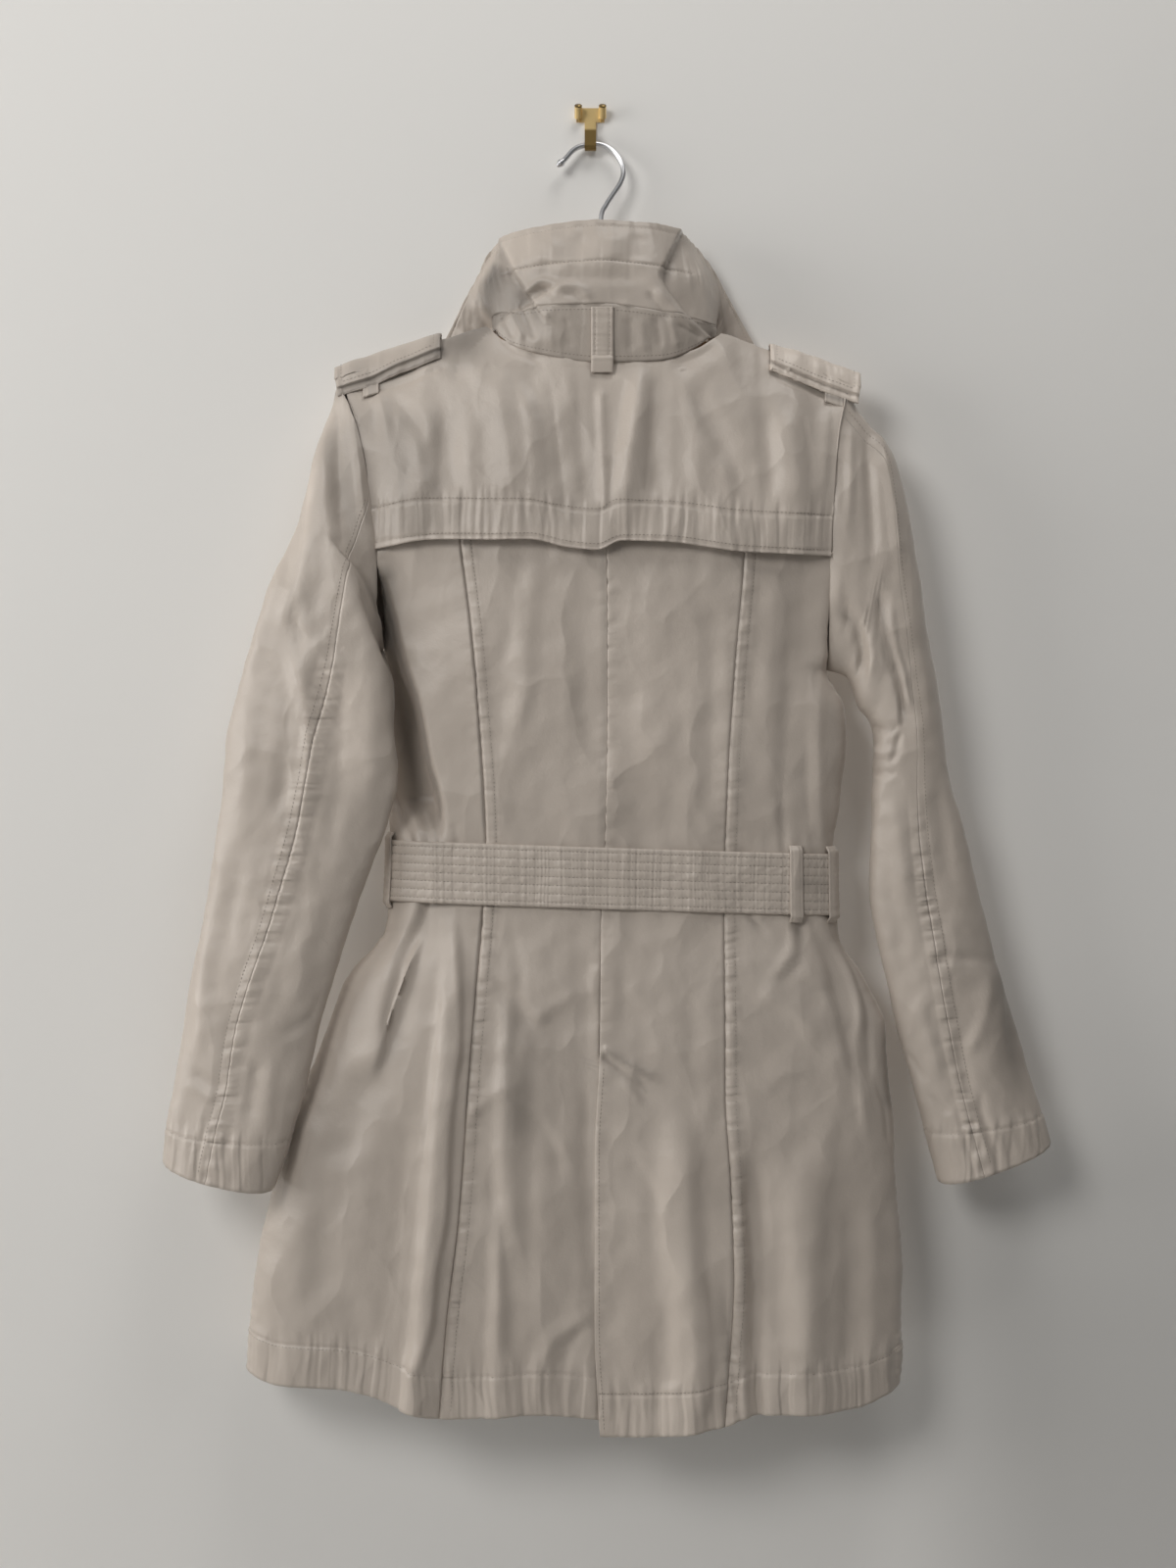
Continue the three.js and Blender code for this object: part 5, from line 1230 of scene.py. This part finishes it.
# Epaulettes with their keepers, over the shoulder line
strap = {
    "lift": 8.8, "back": 22, "front": 19, "bendLeft": -172, "bendRight": 178, "keeperLift": 5.6,
    "keeperWidth": 14, "keeperFrom": 5, "keeperTo": 30, "wall": 2.2, "stitch": 5, "under": 0.83,
    "underStep": 2.0, "stitchUnder": 0.07, "steps": (0.02, 1.2, 90), "slope": 0.3, "slopeFrom": 202,
}
# Each strap's light is painted light or shade over the whole strap: the left one a little darker, the right one much
# lighter for the light on its top.
straps = {
    "left": {"from": -196, "to": -114, "keeper": -169, "light": 0.94, "seed": 2.5},
    "right": {"from": 137, "to": 207, "keeper": 188, "light": 1.3, "seed": 4.4},
}
strapAround = strap["back"] + strap["front"]


# A point on the shoulder's arch, a distance along the cloth from its top: the arch's length is added up in
# small steps of height, and read back at that distance.
def archBase(xFrom, xTo, alongFrom, alongTo, lift):
    drops = np.concatenate([[0], np.cumsum(np.linspace(*strap["steps"]))])

    def base(u, v):
        x = mix(xFrom, xTo, u)
        along = mix(alongFrom, alongTo, v)
        inside = np.clip(x, strap["bendLeft"], strap["bendRight"])
        top = shoulder(inside)
        z = np.zeros(x.shape)
        for side in (-1, 1):
            heights = top[..., None] - drops
            here = bodyPoint(acrossAt(inside[..., None], heights), heights, side)
            run = np.linalg.norm(np.diff(here, axis=-2), axis=-1).cumsum(-1)
            run = np.concatenate([np.zeros(run.shape[:-1] + (1,)), run], axis=-1)
            past = (run < np.abs(along)[..., None]).sum(-1).clip(1, len(drops) - 1)
            before = np.take_along_axis(run, past[..., None] - 1, -1)[..., 0]
            after = np.take_along_axis(run, past[..., None], -1)[..., 0]
            part = np.clip((np.abs(along) - before) / np.maximum(after - before, 1e-9), 0, 1)
            drop = mix(drops[past - 1], drops[past], part)
            z = np.where((along < 0) == (side > 0), top - drop, z)
        back = outFrom(inside, z, lift + 0 * x, -1)
        front = outFrom(inside, z, lift + 0 * x, 1)
        p = np.where((along >= 0)[..., None], back, front)
        p[..., 0] += x - inside
        p[..., 2] += shoulder(x) - top - strap["slope"] * np.maximum(0, x - strap["slopeFrom"])
        return p

    return base


# Relief of an epaulette: unevenness, turned and gathered edges, a stitched line, and a step down where its
# doubled part ends.
def strapRelief(long, seed):
    def relief(p, u, v):
        edge = np.minimum(np.minimum(u, 1 - u) * long, np.minimum(v, 1 - v) * strapAround)
        height = 0.7 * unevenness(u * long, v * strapAround, 26, seed) - 0.8 * bump(edge, 0, 1.2)
        height += 0.35 * gathers(u * long, 9, seed) * bump(edge, 2.5, 3) - 0.5 * bump(edge, strap["stitch"], 1.0)
        return height - strap["underStep"] * step(v, strap["under"], strap["under"] + 0.03)

    return relief


# Relief of a keeper: a stitched line along both sides.
def keeperRelief(p, u, v):
    return -0.4 * bump(np.minimum(u, 1 - u) * strap["keeperWidth"], 2, 0.8)


for side, row in straps.items():
    base = archBase(row["from"], row["to"], -strap["front"], strap["back"], strap["lift"])
    clothPiece(
        f"epaulette_{side}", relieved(base, strapRelief(row["to"] - row["from"], row["seed"])),
        spaced(44, [0, 1], 0.04, 2), spaced(48, [0, strap["under"], 1], 0.03, 3), wall=strap["wall"],
        light=row["light"], tucks=lambda p, u, v: (0.35, 0),
    )
    ends = row["keeper"] - strap["keeperWidth"] / 2, row["keeper"] + strap["keeperWidth"] / 2
    base = archBase(*ends, strap["keeperFrom"], strap["keeperTo"], strap["keeperLift"])
    clothPiece(f"epaulette_keeper_{side}", relieved(base, keeperRelief), spaced(14), spaced(20), wall=1.0)
print("epaulettes made")

# Hanger tab: a strip down the back of the stand, ending in a small block on the flap
tab = {
    "x": 9, "width": 17, "top": -167, "bottom": -216, "topY": -69.8, "lean": 0.12, "block": 1.5,
    "blockTop": -203, "flank": 2, "stitch": 3, "wall": 1.3,
}


# A strip: x across by its width, z down from its top, y out by a share of the drop, and the block by a step.
def tabBase(u, v):
    z = mix(tab["top"], tab["bottom"], v)
    raised = tab["block"] * (1 - step(z, tab["blockTop"] - tab["flank"], tab["blockTop"]))
    y = tab["topY"] + (tab["top"] - z) * tab["lean"] - raised
    return np.stack([tab["x"] + tab["width"] * (u - 0.5), y, z], axis=-1)


# Relief of the tab: stitched lines above the block, turned edges and small gathers.
def tabRelief(p, u, v):
    edge = np.minimum(u, 1 - u) * tab["width"]
    seam = np.where(p[..., 2] > tab["blockTop"], -0.5 * bump(edge, tab["stitch"], 0.7), 0)
    return seam - 0.5 * bump(edge, 0, 0.8) + 0.15 * gathers(v * (tab["top"] - tab["bottom"]), 6, 1.0)


tabDown = spaced(60, [0.72], 0.03, 4)
clothPiece("hanger_tab", relieved(tabBase, tabRelief), spaced(20), tabDown, wall=tab["wall"])

# Belt and its loops
belt = {
    "height": 47, "lift": 3.5, "top": -578, "slope": -0.032, "rows": 7, "firstRow": 4, "span": 39, "around": 780,
    "level": -600, "wall": 2.0,
}
loops = {"belt_loop_side_left": 0.22, "belt_loop_back_right": 2.37, "belt_loop_side_right": 2.86}
loop = {"width": 10, "past": 6, "flank": 4.5, "endLift": 0.8, "wall": 1.2, "over": 0.5, "thick": 1.0}
loopLong = belt["height"] + 2 * loop["past"]


# The waist's section at height z as a closed line of an angle, moved out along its normal by a distance.
def waistPoint(turn, z, distance):
    def around(angle):
        c = np.cos(angle)
        across = -np.sign(c) * np.abs(c) ** (2 / form["round"])
        back = bodyPoint(across, z, -1)
        return np.where((np.sin(angle) >= 0)[..., None], back, bodyPoint(across, z, 1))

    along = around(turn + 0.01) - around(turn - 0.01)
    normal = np.stack([along[..., 1], -along[..., 0], 0 * z], axis=-1)
    normal /= np.maximum(np.linalg.norm(normal, axis=-1, keepdims=True), 1e-9)
    return around(turn) + normal * np.asarray(distance)[..., None]


def beltTop(x):
    return belt["top"] + belt["slope"] * x


# u is an angle round the waist and v runs down the belt's height from its sloping top edge.
def beltBase(u, v):
    turn = 2 * math.pi * u
    z = beltTop(waistPoint(turn, belt["level"] + 0 * turn, 0 * turn)[..., 0]) - belt["height"] * v
    return waistPoint(turn, z, belt["lift"] + 0 * turn)


beltRowsAt = [belt["firstRow"] + row * belt["span"] / (belt["rows"] - 1) for row in range(belt["rows"])]


# Relief of the belt: rows of stitches with gathers between them, unevenness and turned edges.
def beltRelief(p, u, v):
    run, down = u * belt["around"], v * belt["height"]
    height = 0.5 * unevenness(run, down, 38, 31) + 0.15 * gathers(run + 3 * down, 9, 1.2)
    for row, at in enumerate(beltRowsAt):
        height -= 0.4 * bump(down, at, 0.9)
        height += 0.35 * gathers(run + down, 8.5, row * 1.7) * bump(down, at + 3, 2.4)
    return height - 0.9 * bump(np.minimum(down, belt["height"] - down), 0, 1.0)


beltStitchAt = [at / belt["height"] for at in beltRowsAt]
clothPiece(
    "belt", relieved(beltBase, beltRelief), np.linspace(0, 1, 361), spaced(50, beltStitchAt, 0.015, 1.5), around=True,
    wall=belt["wall"], tucks=lambda p, u, v: (0.26, 0),
)
cloth["belt"].data.materials[0] = beltClothLook


# A strip over the belt at one angle: u across by its width, v down past both of the belt's edges. It lies over
# the belt, and a soft step brings its ends near the cloth.
def loopBase(turn):
    def base(u, v):
        here = waistPoint(turn + 0 * u, belt["level"] + 0 * u, 0 * u)
        ahead = waistPoint(turn + 0.02 + 0 * u, belt["level"] + 0 * u, 0 * u)
        at = turn + loop["width"] * (u - 0.5) / np.linalg.norm(ahead - here, axis=-1) * 0.02
        z = beltTop(here[..., 0]) + mix(loop["past"], -belt["height"] - loop["past"], v)
        over = step(np.minimum(v, 1 - v) * loopLong, 0, loop["flank"])
        return waistPoint(at, z, mix(loop["endLift"], belt["lift"] + loop["over"], over) + loop["wall"])

    return base


# Relief of a loop: stitched lines, turned edges and small gathers.
def loopRelief(p, u, v):
    edge = np.minimum(u, 1 - u) * loop["width"]
    return -0.35 * bump(edge, 2, 0.7) - 0.5 * bump(edge, 0, 0.8) + 0.15 * gathers(v * loopLong, 7, 2.0)


for name, turn in loops.items():
    clothPiece(name, relieved(loopBase(turn), loopRelief), spaced(16), spaced(50), wall=loop["thick"])
print("belt and loops made")

# Places u on a panel that lie a distance along the cloth from one of its side edges, for each v: the run of
# the cloth is added up over small steps of u and read back at that distance.
def besideEdge(base, vs, distance, fromStart=True):
    us = np.linspace(0, 0.35, 30) if fromStart else np.linspace(1, 0.65, 30)
    u, v = np.meshgrid(us, vs)
    run = np.linalg.norm(np.diff(base(u, v), axis=1), axis=-1).cumsum(1)
    run = np.concatenate([np.zeros((len(vs), 1)), run], axis=1)
    past = (run < distance).sum(1).clip(1, len(us) - 1)
    row = np.arange(len(vs))
    part = (distance - run[row, past - 1]) / (run[row, past] - run[row, past - 1])
    return mix(us[past - 1], us[past], part)


# Where v lies on the storm flap for a height over its hem.
def flapV(u, height):
    level = flap["level"]
    x = mix(bodyLeft(level) + flap["sideGap"], bodyRight(level) - flap["sideGap"], u)
    return (1 - height / (backTop(x) - hemFlap(x))) ** (1 / flap["crowd"])


# Rows of stitches: the hem bands, and the lines beside the seams and edges.
wholeRow = np.linspace(0.004, 0.996, 900)
hemRow = (wholeRow, overHemV(hemBand["depth"]))
for name in backSide:
    rows = [hemRow]
    if name in felledPanels:
        vs = np.linspace(0.14, 0.995, 900)
        rows.append((besideEdge(surfaces[name], vs, seamBand["stitch"]), vs))
    if name == "back_centre_right":
        vs = np.linspace(0.72, 0.995, 300)
        rows.append((besideEdge(surfaces[name], vs, vent["stitch"]), vs))
    stitches(name, rows)
for name in frontSide:
    vs = np.linspace(0.03, 0.995, 900)
    stitches(name, [hemRow, (besideEdge(surfaces[name], vs, 6, name == "front_right"), vs)])
stitches("storm_flap", [(wholeRow, flapV(wholeRow, height)) for height in (flap["band"], flap["edgeStitch"])])
for side in ("left", "right"):
    for part in ("top", "under"):
        name, vs = f"{part}_sleeve_{side}", np.linspace(0.03, 0.99, 900)
        seam = [(besideEdge(surfaces[name], vs, 7, False), vs)] if part == "top" else []
        stitches(name, [(wholeRow, 1 - arm["cuff"] / arm["length"])] + seam)
endRow = np.linspace(0.08, 0.97, 100)
stitches("collar_fall", [
    (mix(0.33, 0.68, wholeRow), collarShape["band"]), (wholeRow, collarShape["edgeStitch"] / collarShape["deep"]),
    (0.012, endRow), (0.988, endRow),
])
stitches("collar_stand", [(wholeRow, 0.1), (wholeRow, 0.9)])
for side, row in straps.items():
    ends, sides = strap["stitch"] / (row["to"] - row["from"]), strap["stitch"] / strapAround
    low = strap["under"] - strap["stitchUnder"]
    across, down = np.linspace(ends, 1 - ends, 200), np.linspace(sides, low, 150)
    stitches(f"epaulette_{side}", [(across, sides), (across, low), (ends, down), (1 - ends, down)])
tabRow, tabEdges = np.linspace(0.03, 0.7, 200), (tab["stitch"], tab["width"] - tab["stitch"])
stitches("hanger_tab", [(edge / tab["width"], tabRow) for edge in tabEdges])
stitches("belt", [(np.linspace(0, 0.9995, 2400), at) for at in beltStitchAt])
print("stitches made")

# Metal and wood: the hanger's hook is a round wire along a smooth line; the rest keeps its solids
# The nails are dark brass, darkened further as painted shade for the hollows round the nail heads.
nailLook = plainLook("dark brass with painted hollow shade", (0.22, 0.15, 0.055), 0.35, 0.8)
steelLook = plainLook("bright steel wire", (0.66, 0.66, 0.67), 0.3, 0.9)
brassLook = plainLook("brass", (0.78, 0.58, 0.27), 0.42, 0.8)
lip = {"from": -0.0135, "to": -0.0115, "colour": (0.24, 0.16, 0.055)}


# Painted shade under the hook's lip: below the lip's top edge the brass turns to a dark olive tone.
def paintLipShade(look):
    tree = look.node_tree
    shader = tree.nodes["Principled BSDF"]
    place, axes = shaderNode(tree, "ShaderNodeTexCoord"), shaderNode(tree, "ShaderNodeSeparateXYZ")
    height = shaderNode(tree, "ShaderNodeMapRange", {"From Min": lip["from"], "From Max": lip["to"]})
    tones = shaderNode(tree, "ShaderNodeMix", data_type="RGBA")
    tones.inputs["A"].default_value = (*lip["colour"], 1)
    tones.inputs["B"].default_value = shader.inputs["Base Color"].default_value
    joinNodes(tree, [
        (place, "Object", axes, "Vector"), (axes, "Z", height, "Value"), (height, "Result", tones, "Factor"),
        (tones, "Result", shader, "Base Color"),
    ])


paintLipShade(brassLook)
woodLook = plainLook("varnished wood", (0.36, 0.22, 0.11), 0.4)
hornLook = plainLook("horn-coloured plastic", (0.2, 0.16, 0.125), 0.35)
for name, look in {
    "wall_hook": brassLook, "hook_nail_left": nailLook, "hook_nail_right": nailLook, "hanger": woodLook,
    "belt_buckle": hornLook, "front_button_1": hornLook, "front_button_2": hornLook,
}.items():
    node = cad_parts[name]
    node.data.materials.clear()
    node.data.materials.append(look)

wire = {"radius": 2.1, "ball": 3.1, "ballAt": 2.2, "hangZ": -23.5, "hangY": -7, "footZ": -174.5, "sides": 20}
wireEnd = {"dome": (0.02, 0.6, 0.86), "reach": (1, 0.8, 0.5)}
wireLine = np.array([
    (-25, -40.5), (-20, -35.6), (-14.6, -29), (-9, -25.3), (-1, -23.5), (7, -23.2), (14.6, -26.4), (21.2, -32.6),
    (25.2, -40.6), (25.9, -49), (23, -57), (18, -65), (12.5, -74), (8.5, -84), (8, -110), (9, -150), (10, -174.5),
], float)


# A round bar along a line: rings stand square to it, turned so that one axis stays level; the ends are
# closed with shrinking rings.
def makeWire():
    line = flowing(wireLine, 10)
    lean = (form["ridgeY"] - wire["hangY"]) / (wire["footZ"] - wire["hangZ"])
    path = np.stack([line[:, 0], wire["hangY"] + (line[:, 1] - wire["hangZ"]) * lean, line[:, 1]], axis=-1)
    ahead = np.gradient(path, axis=0)
    ahead /= np.linalg.norm(ahead, axis=1, keepdims=True)
    flat = np.cross(ahead, [0, 1.0, 0])
    flat /= np.linalg.norm(flat, axis=1, keepdims=True)
    other = np.cross(ahead, flat)
    dome = np.array(wireEnd["dome"])
    fromTip = np.concatenate([[0], np.cumsum(np.linalg.norm(np.diff(path, axis=0), axis=1))])
    ball = np.sqrt(np.maximum(0, wire["ball"] ** 2 - (fromTip - wire["ballAt"]) ** 2)) / wire["radius"]
    radius = np.concatenate([dome, np.maximum(1, ball), dome[::-1]]) * wire["radius"]
    reach = np.array(wireEnd["reach"]) * wire["radius"]
    path = np.vstack([path[:1] - ahead[:1] * reach[:, None], path, path[-1:] + ahead[-1:] * reach[::-1, None]])
    flat, other = (np.vstack([w[:1].repeat(len(dome), 0), w, w[-1:].repeat(len(dome), 0)]) for w in (flat, other))
    turn = np.linspace(0, 2 * math.pi, wire["sides"], endpoint=False)[None, :, None]
    p = path[:, None] + radius[:, None, None] * (flat[:, None] * np.cos(turn) + other[:, None] * np.sin(turn))
    i = np.arange(p.shape[0] * p.shape[1]).reshape(p.shape[:2])
    j = np.concatenate([i, i[:, :1]], axis=1)
    faces = np.stack([j[:-1, :-1], j[:-1, 1:], j[1:, 1:], j[1:, :-1]], axis=-1).reshape(-1, 4)
    piece = finishPiece("hanger_wire", p.reshape(-1, 3), faces, steelLook, wall=0)
    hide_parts("hanger_hook")


makeWire()
print("wire made")

# What each piece of cloth was cut to, in metres: flat width, flat length, and area where it isn't a rectangle
cuts = {
    "back_side_left": (0.18, 0.81, 0.0956), "back_centre_left": (0.165, 0.815, 0.0941),
    "back_centre_right": (0.115, 0.825, 0.0839), "back_side_right": (0.15, 0.81, 0.0909),
    "front_left": (0.36, 0.81, 0.1876), "front_right": (0.31, 0.81, 0.185), "storm_flap": (0.38, 0.175, 0.0587),
    "top_sleeve_left": (0.16, 0.62, 0.065), "under_sleeve_left": (0.16, 0.6, 0.0685),
    "top_sleeve_right": (0.12, 0.6, 0.0495), "under_sleeve_right": (0.13, 0.58, 0.0565),
    "collar_fall": (0.48, 0.075, 0.0225), "collar_stand": (0.34, 0.036, 0.0075),
    "epaulette_left": (0.083, 0.068, None), "epaulette_keeper_left": (0.014, 0.028, None),
    "epaulette_right": (0.07, 0.068, None), "epaulette_keeper_right": (0.014, 0.028, None),
    "hanger_tab": (0.017, 0.049, None), "belt": (0.8, 0.047, None), **{name: (0.01, 0.066, None) for name in loops},
}
for name, (width, length, area) in cuts.items():
    rows = [thread[name]] if name in thread else []

# Stage, light and camera
stageLook = plainLook("pale paint", (0.79, 0.775, 0.75), 0.85)
stageLook.node_tree.nodes["Principled BSDF"].inputs["Specular IOR Level"].default_value = 0.2
# Painted shade on the wall: light is its brightness, less how much darker its lower right is painted, aside and low
# where x and z start and end the darkening.
wallPaintedShade = {"light": 1.05, "less": -0.24, "aside": (0.22, 0.38), "low": (-0.62, -0.98)}


# The wall shows only its front, so that the coat's other side can be seen from behind it. Its colour carries
# painted shade: a constant less a soft step to the right times a soft step down, darker towards the lower right.
def makeWallLook():
    look = stageLook.copy()
    look.name = "pale paint with painted corner shade, seen from the front"
    tree = look.node_tree
    shader, output = tree.nodes["Principled BSDF"], tree.nodes["Material Output"]
    place, axes = shaderNode(tree, "ShaderNodeTexCoord"), shaderNode(tree, "ShaderNodeSeparateXYZ")
    corner = shaderNode(tree, "ShaderNodeMath", operation="MULTIPLY")
    tone = shaderNode(tree, "ShaderNodeMath", operation="MULTIPLY_ADD")
    tone.inputs[1].default_value, tone.inputs[2].default_value = wallPaintedShade["less"], wallPaintedShade["light"]
    toned = shaderNode(tree, "ShaderNodeVectorMath", operation="SCALE")
    toned.inputs[0].default_value = shader.inputs["Base Color"].default_value[:3]
    clear, which = shaderNode(tree, "ShaderNodeBsdfTransparent"), shaderNode(tree, "ShaderNodeNewGeometry")
    joined = shaderNode(tree, "ShaderNodeMixShader")
    for slot, (axis, way) in enumerate((("X", "aside"), ("Z", "low"))):
        start, end = wallPaintedShade[way]
        part = shaderNode(
            tree, "ShaderNodeMapRange", {"From Min": start, "From Max": end}, interpolation_type="SMOOTHSTEP",
        )
        joinNodes(tree, [(axes, axis, part, "Value"), (part, "Result", corner, slot)])
    joinNodes(tree, [
        (place, "Object", axes, "Vector"), (corner, "Value", tone, 0), (tone, "Value", toned, "Scale"),
        (toned, "Vector", shader, "Base Color"), (which, "Backfacing", joined, "Fac"), (shader, "BSDF", joined, 1),
        (clear, "BSDF", joined, 2), (joined, "Shader", output, "Surface"),
    ])
    return look


def stagePlane(name, corners, look):
    mesh = bpy.data.meshes.new(name)
    mesh.from_pydata(corners, [], [(0, 1, 2, 3)])
    mesh.materials.append(look)
    plane = bpy.data.objects.new(name, mesh)
    bpy.context.scene.collection.objects.link(plane)
    return plane


room = {"half": 3.0, "floor": -1.95, "top": 1.6, "front": -4.0, "back": 2.5, "wall": 0.0004}
half, floor, top = room["half"], room["floor"], room["top"]
wallPlane = stagePlane("wall", [
    (x, room["wall"], z) for x, z in ((-half, floor), (half, floor), (half, top), (-half, top))
], makeWallLook())
wallPlane.visible_shadow = False
stagePlane("floor", [
    (x, y, floor)
    for x, y in ((-half, room["front"]), (half, room["front"]), (half, room["back"]), (-half, room["back"]))
], stageLook)

# Place, target, size, power and colour of each round light.
daylight = (1, 0.99, 0.97)
lights = {
    "front": ((-1.5, -2.3, 0.85), (0, 0, -0.45), 1.2, 30, daylight),
    "window": ((-2.5, -0.75, -0.1), (0, 0, -0.45), 1.5, 29, daylight),
    "above": ((0.4, -0.85, 1.5), (0, 0, -0.3), 0.9, 13, daylight),
    "behind the wall": ((0.6, 1.8, 0.2), (0, 0, -0.5), 1.5, 16, (1, 1, 1)),
}
for name, (place, target, size, power, colour) in lights.items():
    data = bpy.data.lights.new(name, "AREA")
    data.shape = "DISK"
    data.size, data.energy, data.color = size, power, colour
    lamp = bpy.data.objects.new(name, data)
    lamp.location = place
    away = np.array(place) - np.array(target)
    lamp.rotation_euler = (math.atan2(math.hypot(away[0], away[1]), away[2]), 0, math.atan2(away[0], -away[1]))
    bpy.context.scene.collection.objects.link(lamp)

world = bpy.data.worlds.new("soft room light")
world.use_nodes = True
world.node_tree.nodes["Background"].inputs["Color"].default_value = (0.93, 0.96, 1.0, 1)
world.node_tree.nodes["Background"].inputs["Strength"].default_value = 0.085
bpy.context.scene.world = world
bpy.context.scene.view_settings.view_transform = "Standard"

cameraData = bpy.data.cameras.new("camera")
cameraData.lens, cameraData.sensor_width = 45, 36
camera = bpy.data.objects.new("camera", cameraData)
camera.location = [eye[axis] * mm for axis in "xyz"]
camera.rotation_euler = (math.pi / 2, 0, 0)
bpy.context.scene.collection.objects.link(camera)
bpy.context.scene.camera = camera

print("stage, light and camera set")
